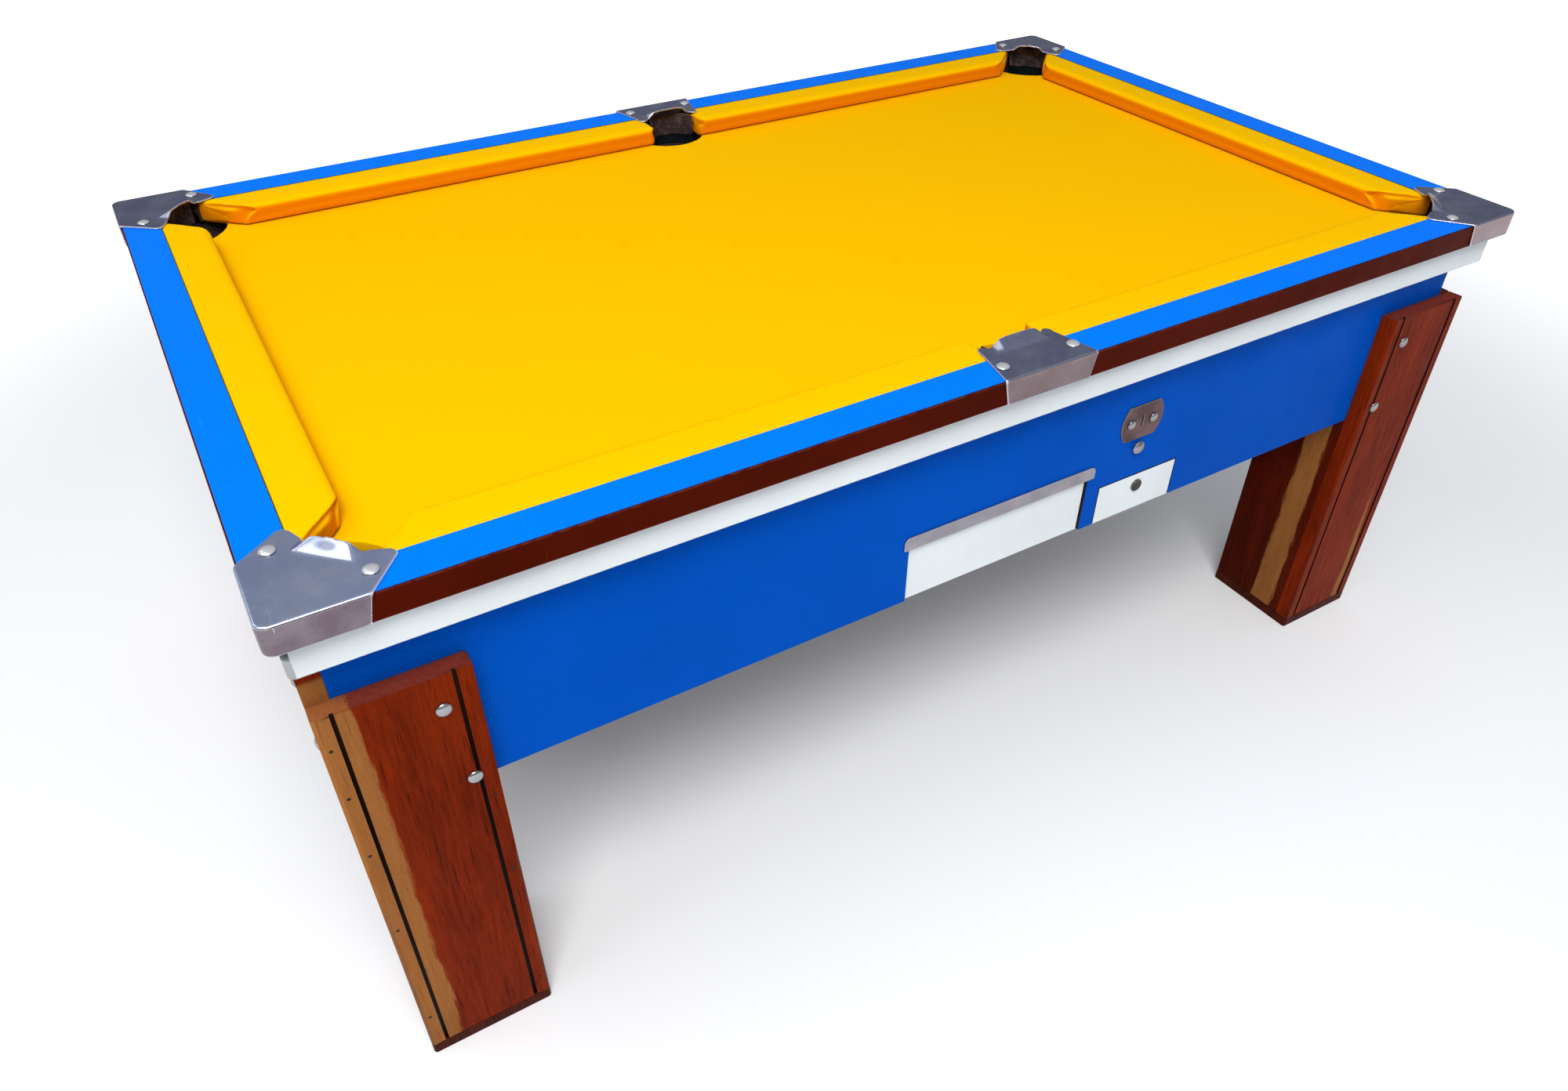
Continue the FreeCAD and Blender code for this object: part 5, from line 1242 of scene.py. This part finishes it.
def dome_tree(material):
    group, t, (points, segments, rings, rise) = new_group(
        "dome heads",
        {"Geometry": GEOMETRY, "Segments": 28, "Rings": 14, "Rise": 0.42},
        {"Geometry": GEOMETRY},
        "GeometryNodeTree",
    )
    inputs = {"Segments": segments, "Rings": rings, "Radius": 1.0}
    ball = t.add("GeometryNodeMeshUVSphere", inputs)
    spot = t.add("GeometryNodeInputPosition").outputs[0]
    x, y, z = t.add("ShaderNodeSeparateXYZ", {0: spot}).outputs
    above = t.times(t.most(z, 0.0), rise)
    below = t.times(t.math("MINIMUM", z, 0.0), FOOT_FLAT)
    flat = t.add("ShaderNodeCombineXYZ", {0: x, 1: y, 2: t.plus(above, below)})
    # Painted shadow: dark on the pressed foot, fading out part way up the dome.
    rim = t.minus(1.0, t.math("DIVIDE", z, FOOT_SHADOW_TOP))
    dome_foot_shadow = t.math("MINIMUM", t.most(rim, 0.0), 1.0)
    inputs = {"Geometry": ball.outputs["Mesh"], "Name": "dome_foot_shadow", "Value": dome_foot_shadow}
    marked = t.add(
        "GeometryNodeStoreNamedAttribute", inputs, data_type="FLOAT", domain="POINT"
    )
    inputs = {"Geometry": marked.outputs[0], "Position": flat.outputs[0]}
    dome = t.add("GeometryNodeSetPosition", inputs)
    facing, size = [
        t.add("GeometryNodeInputNamedAttribute", {"Name": name}, data_type=kind).outputs[0]
        for name, kind in (("facing", "FLOAT_VECTOR"), ("size", "FLOAT"))
    ]
    turn = t.add("FunctionNodeAlignRotationToVector", {"Vector": facing}, axis="Z")
    shape = t.add("GeometryNodeInstanceOnPoints", {
        "Points": points, "Instance": dome.outputs[0],
        "Rotation": turn.outputs[0], "Scale": size,
    })
    for kind in ("RealizeInstances", "SetShadeSmooth", "SetMaterial"):
        shape = t.add(f"GeometryNode{kind}", {"Geometry": shape.outputs[0]})
    shape.inputs["Material"].default_value = material
    t.give(Geometry=shape.outputs[0])
    return group


print("dome tree ready")


# %% Dome heads
def dome_heads(name, material, spots, rise, slot, *nodes):
    """Spots are (place, facing, radius); one mesh of all their heads."""
    places, facings, radii = zip(*spots)
    mesh = bpy.data.meshes.new(name)
    mesh.from_pydata(places, [], [])
    ways = mesh.attributes.new("facing", "FLOAT_VECTOR", "POINT")
    ways.data.foreach_set("vector", [c for facing in facings for c in facing])
    write_values(mesh, "size", radii)
    item = bpy.data.objects.new(name, mesh)
    bpy.context.scene.collection.objects.link(item)
    maker = item.modifiers.new("dome heads", "NODES")
    maker.node_group = dome_tree(material)
    maker[maker.node_group.interface.items_tree["Rise"].identifier] = rise
    settle(item)
    dressed(item, slot, *nodes)
    print(name, "has", len(spots), "heads and", len(item.data.polygons), "faces")


def mirrored(places, facing, radius):
    """Spots at places in mm, and at their mirror places on the other three sides."""
    return [
        ((sx * x * MM, sy * y * MM, z * MM), (sx * facing[0], sy * facing[1], facing[2]), radius)
        for x, y, z in places for sx, sy in CORNERS
    ]


rivets = mirrored(((865, 567, 848), (949, 483, 848), (59, 572, 848)), (0, 0, 1), 9.5 * MM)
dome_heads("cap_dome_rivets", DOME_STEEL, rivets, 0.42, "dome_steel", "cap_rivets")
bolts = mirrored(((834, 580, 639), (819, 580, 515)), (0, 1, 0), 10 * MM)
bolts += mirrored(((968, 446, 639), (968, 431, 515)), (1, 0, 0), 10 * MM)
plate_bolts = [((TOKEN_X + sx * 22.5) * MM, -555 * MM, 655.5 * MM) for sx in BOTH]
bolts += [(place, (0, -1, 0), 8 * MM) for place in plate_bolts]
dome_heads("dome_bolt_heads", BOLT_STEEL, bolts, 0.5, "dome_steel", "dome_bolts")

# %% Nails
NAIL_IRON = metal_finish("nail iron", (46, 34, 30), (80, 66, 58), 0.5, 0.2)
OUTER_NAILS, INNER_NAILS = (640, 560, 455, 300, 90), (470, 320, 60)  # heights in mm
places = [(958, 580, z) for z in OUTER_NAILS] + [(801, 580, z) for z in INNER_NAILS]
nails = mirrored(places, (0, 1, 0), 2.4 * MM)
dome_heads("leg_nail_heads", NAIL_IRON, nails, 0.10, "zinc_steel")

# %% [markdown]
# ## What stays as CAD made it
# The inside of the cabinet, the hinge, the catch and the nuts are right as
# they are, so they only get a finish: plywood, zinc, board or dark steel. The
# dark steel on the token chute is painted shade, so the token slot looks dark.
# The token button keeps its CAD shape too.

# %% Finishes on CAD nodes
KEPT = {
    # Painted shade: the chute seen through the token slot is dark.
    LOCK_DARK: "token_chute",
    PLYWOOD: "ball_guides bed_beams centre_ramp coin_box drawer_runners drawer_tray"
    " ramp_bearers side_ramps",
    ZINC_STEEL: "catch_bracket drawer_catch hinge_door_leaf hinge_floor_leaf hinge_pin leg_nuts",
    SLAB_BOARD: "bed_slab cabinet_floor",
    PULL_ALUMINIUM: "token_button",
}
for material, names in KEPT.items():
    for node in names.split():
        finish_with(frame["nodes"][node].data, material)
    print(material.name, "on", len(names.split()), "nodes")

# %% [markdown]
# ## Floor and light
# The table stands on a plain pale floor. One broad lamp, high up at the front
# left, lights the bed and the front alike and lays the shadow under the table
# and to the right. Two weaker ones, on the left and behind, put the shine on
# the caps, and a weak sky, brighter overhead, fills the shadows; the camera
# itself sees it as white. For the camera and for reflections the floor adds its
# own white, more of it away from the table, so the room fades to plain white
# and the shadow stays.

# %% Floor
WHITE, REACH = (1, 1, 1, 1), 150
NEAR_GLOW, FAR_GLOW, FADE = 0.10, 0.80, (1.7, 4.0)
FLOOR, t, place = new_finish(
    "pale floor", Roughness=0.9, Specular_IOR_Level=0.1,
    Base_Color=(0.97, 0.97, 0.97, 1), Emission_Color=WHITE,
)
path = t.add("ShaderNodeLightPath").outputs
bent = t.most(path["Is Glossy Ray"], path["Is Transmission Ray"])
seen = t.most(path["Is Camera Ray"], bent)
away = t.add("ShaderNodeVectorMath", {0: place}, operation="LENGTH").outputs["Value"]
glow = t.math("MULTIPLY_ADD", t.band(away, *FADE), FAR_GLOW, NEAR_GLOW)
t.give(Emission_Strength=t.times(seen, glow))
ground = bpy.data.meshes.new("floor")
edges = [(-REACH, -REACH, 0), (REACH, -REACH, 0), (REACH, REACH, 0), (-REACH, REACH, 0)]
ground.from_pydata(edges, [], [(0, 1, 2, 3)])
floor = shown("floor", ground, FLOOR)
floor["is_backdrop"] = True
print("floor laid")

# %% Light
world = bpy.data.worlds.new("studio sky")
bpy.context.scene.world = world
world.use_nodes = True
t = Tree(world.node_tree, world.node_tree.nodes["Background"].inputs)
rise = t.add("ShaderNodeTexGradient")
rise.texture_mapping.mapping_x = "Z"
sky = t.mix(rise.outputs["Fac"], (0.11, 0.12, 0.15, 1), (0.43, 0.45, 0.48, 1))
eye = t.add("ShaderNodeLightPath").outputs["Is Camera Ray"]
t.give(Color=t.mix(eye, sky, WHITE))


def soft_lamp(name, place, target, size, power):
    lamp = bpy.data.lights.new(name, "AREA")
    lamp.shape = "SQUARE"
    lamp.size = size
    lamp.energy = power
    item = bpy.data.objects.new(name, lamp)
    item.location = place
    item.rotation_euler = (Vector(target) - Vector(place)).to_track_quat("-Z", "Y").to_euler()
    bpy.context.scene.collection.objects.link(item)


soft_lamp("broad lamp", (-1.35, -2.6, 4.4), (0.0, 0, 0.8), 2.0, 160)
soft_lamp("left lamp", (-2.7, -0.1, 4.4), (-0.3, 0, 0.8), 2.4, 40)
soft_lamp("back lamp", (-2.2, 1.95, 3.05), (-0.2, -0.5, 0.85), 0.8, 4)
bpy.context.scene.view_settings.view_transform = "Standard"

# %% Sizes
sizes = {
    "cad": [[float(v) for v in corner] for corner in cad_box],
    "visual": [[float(v) for v in corner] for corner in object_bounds()],
}
print("sizes", sizes)
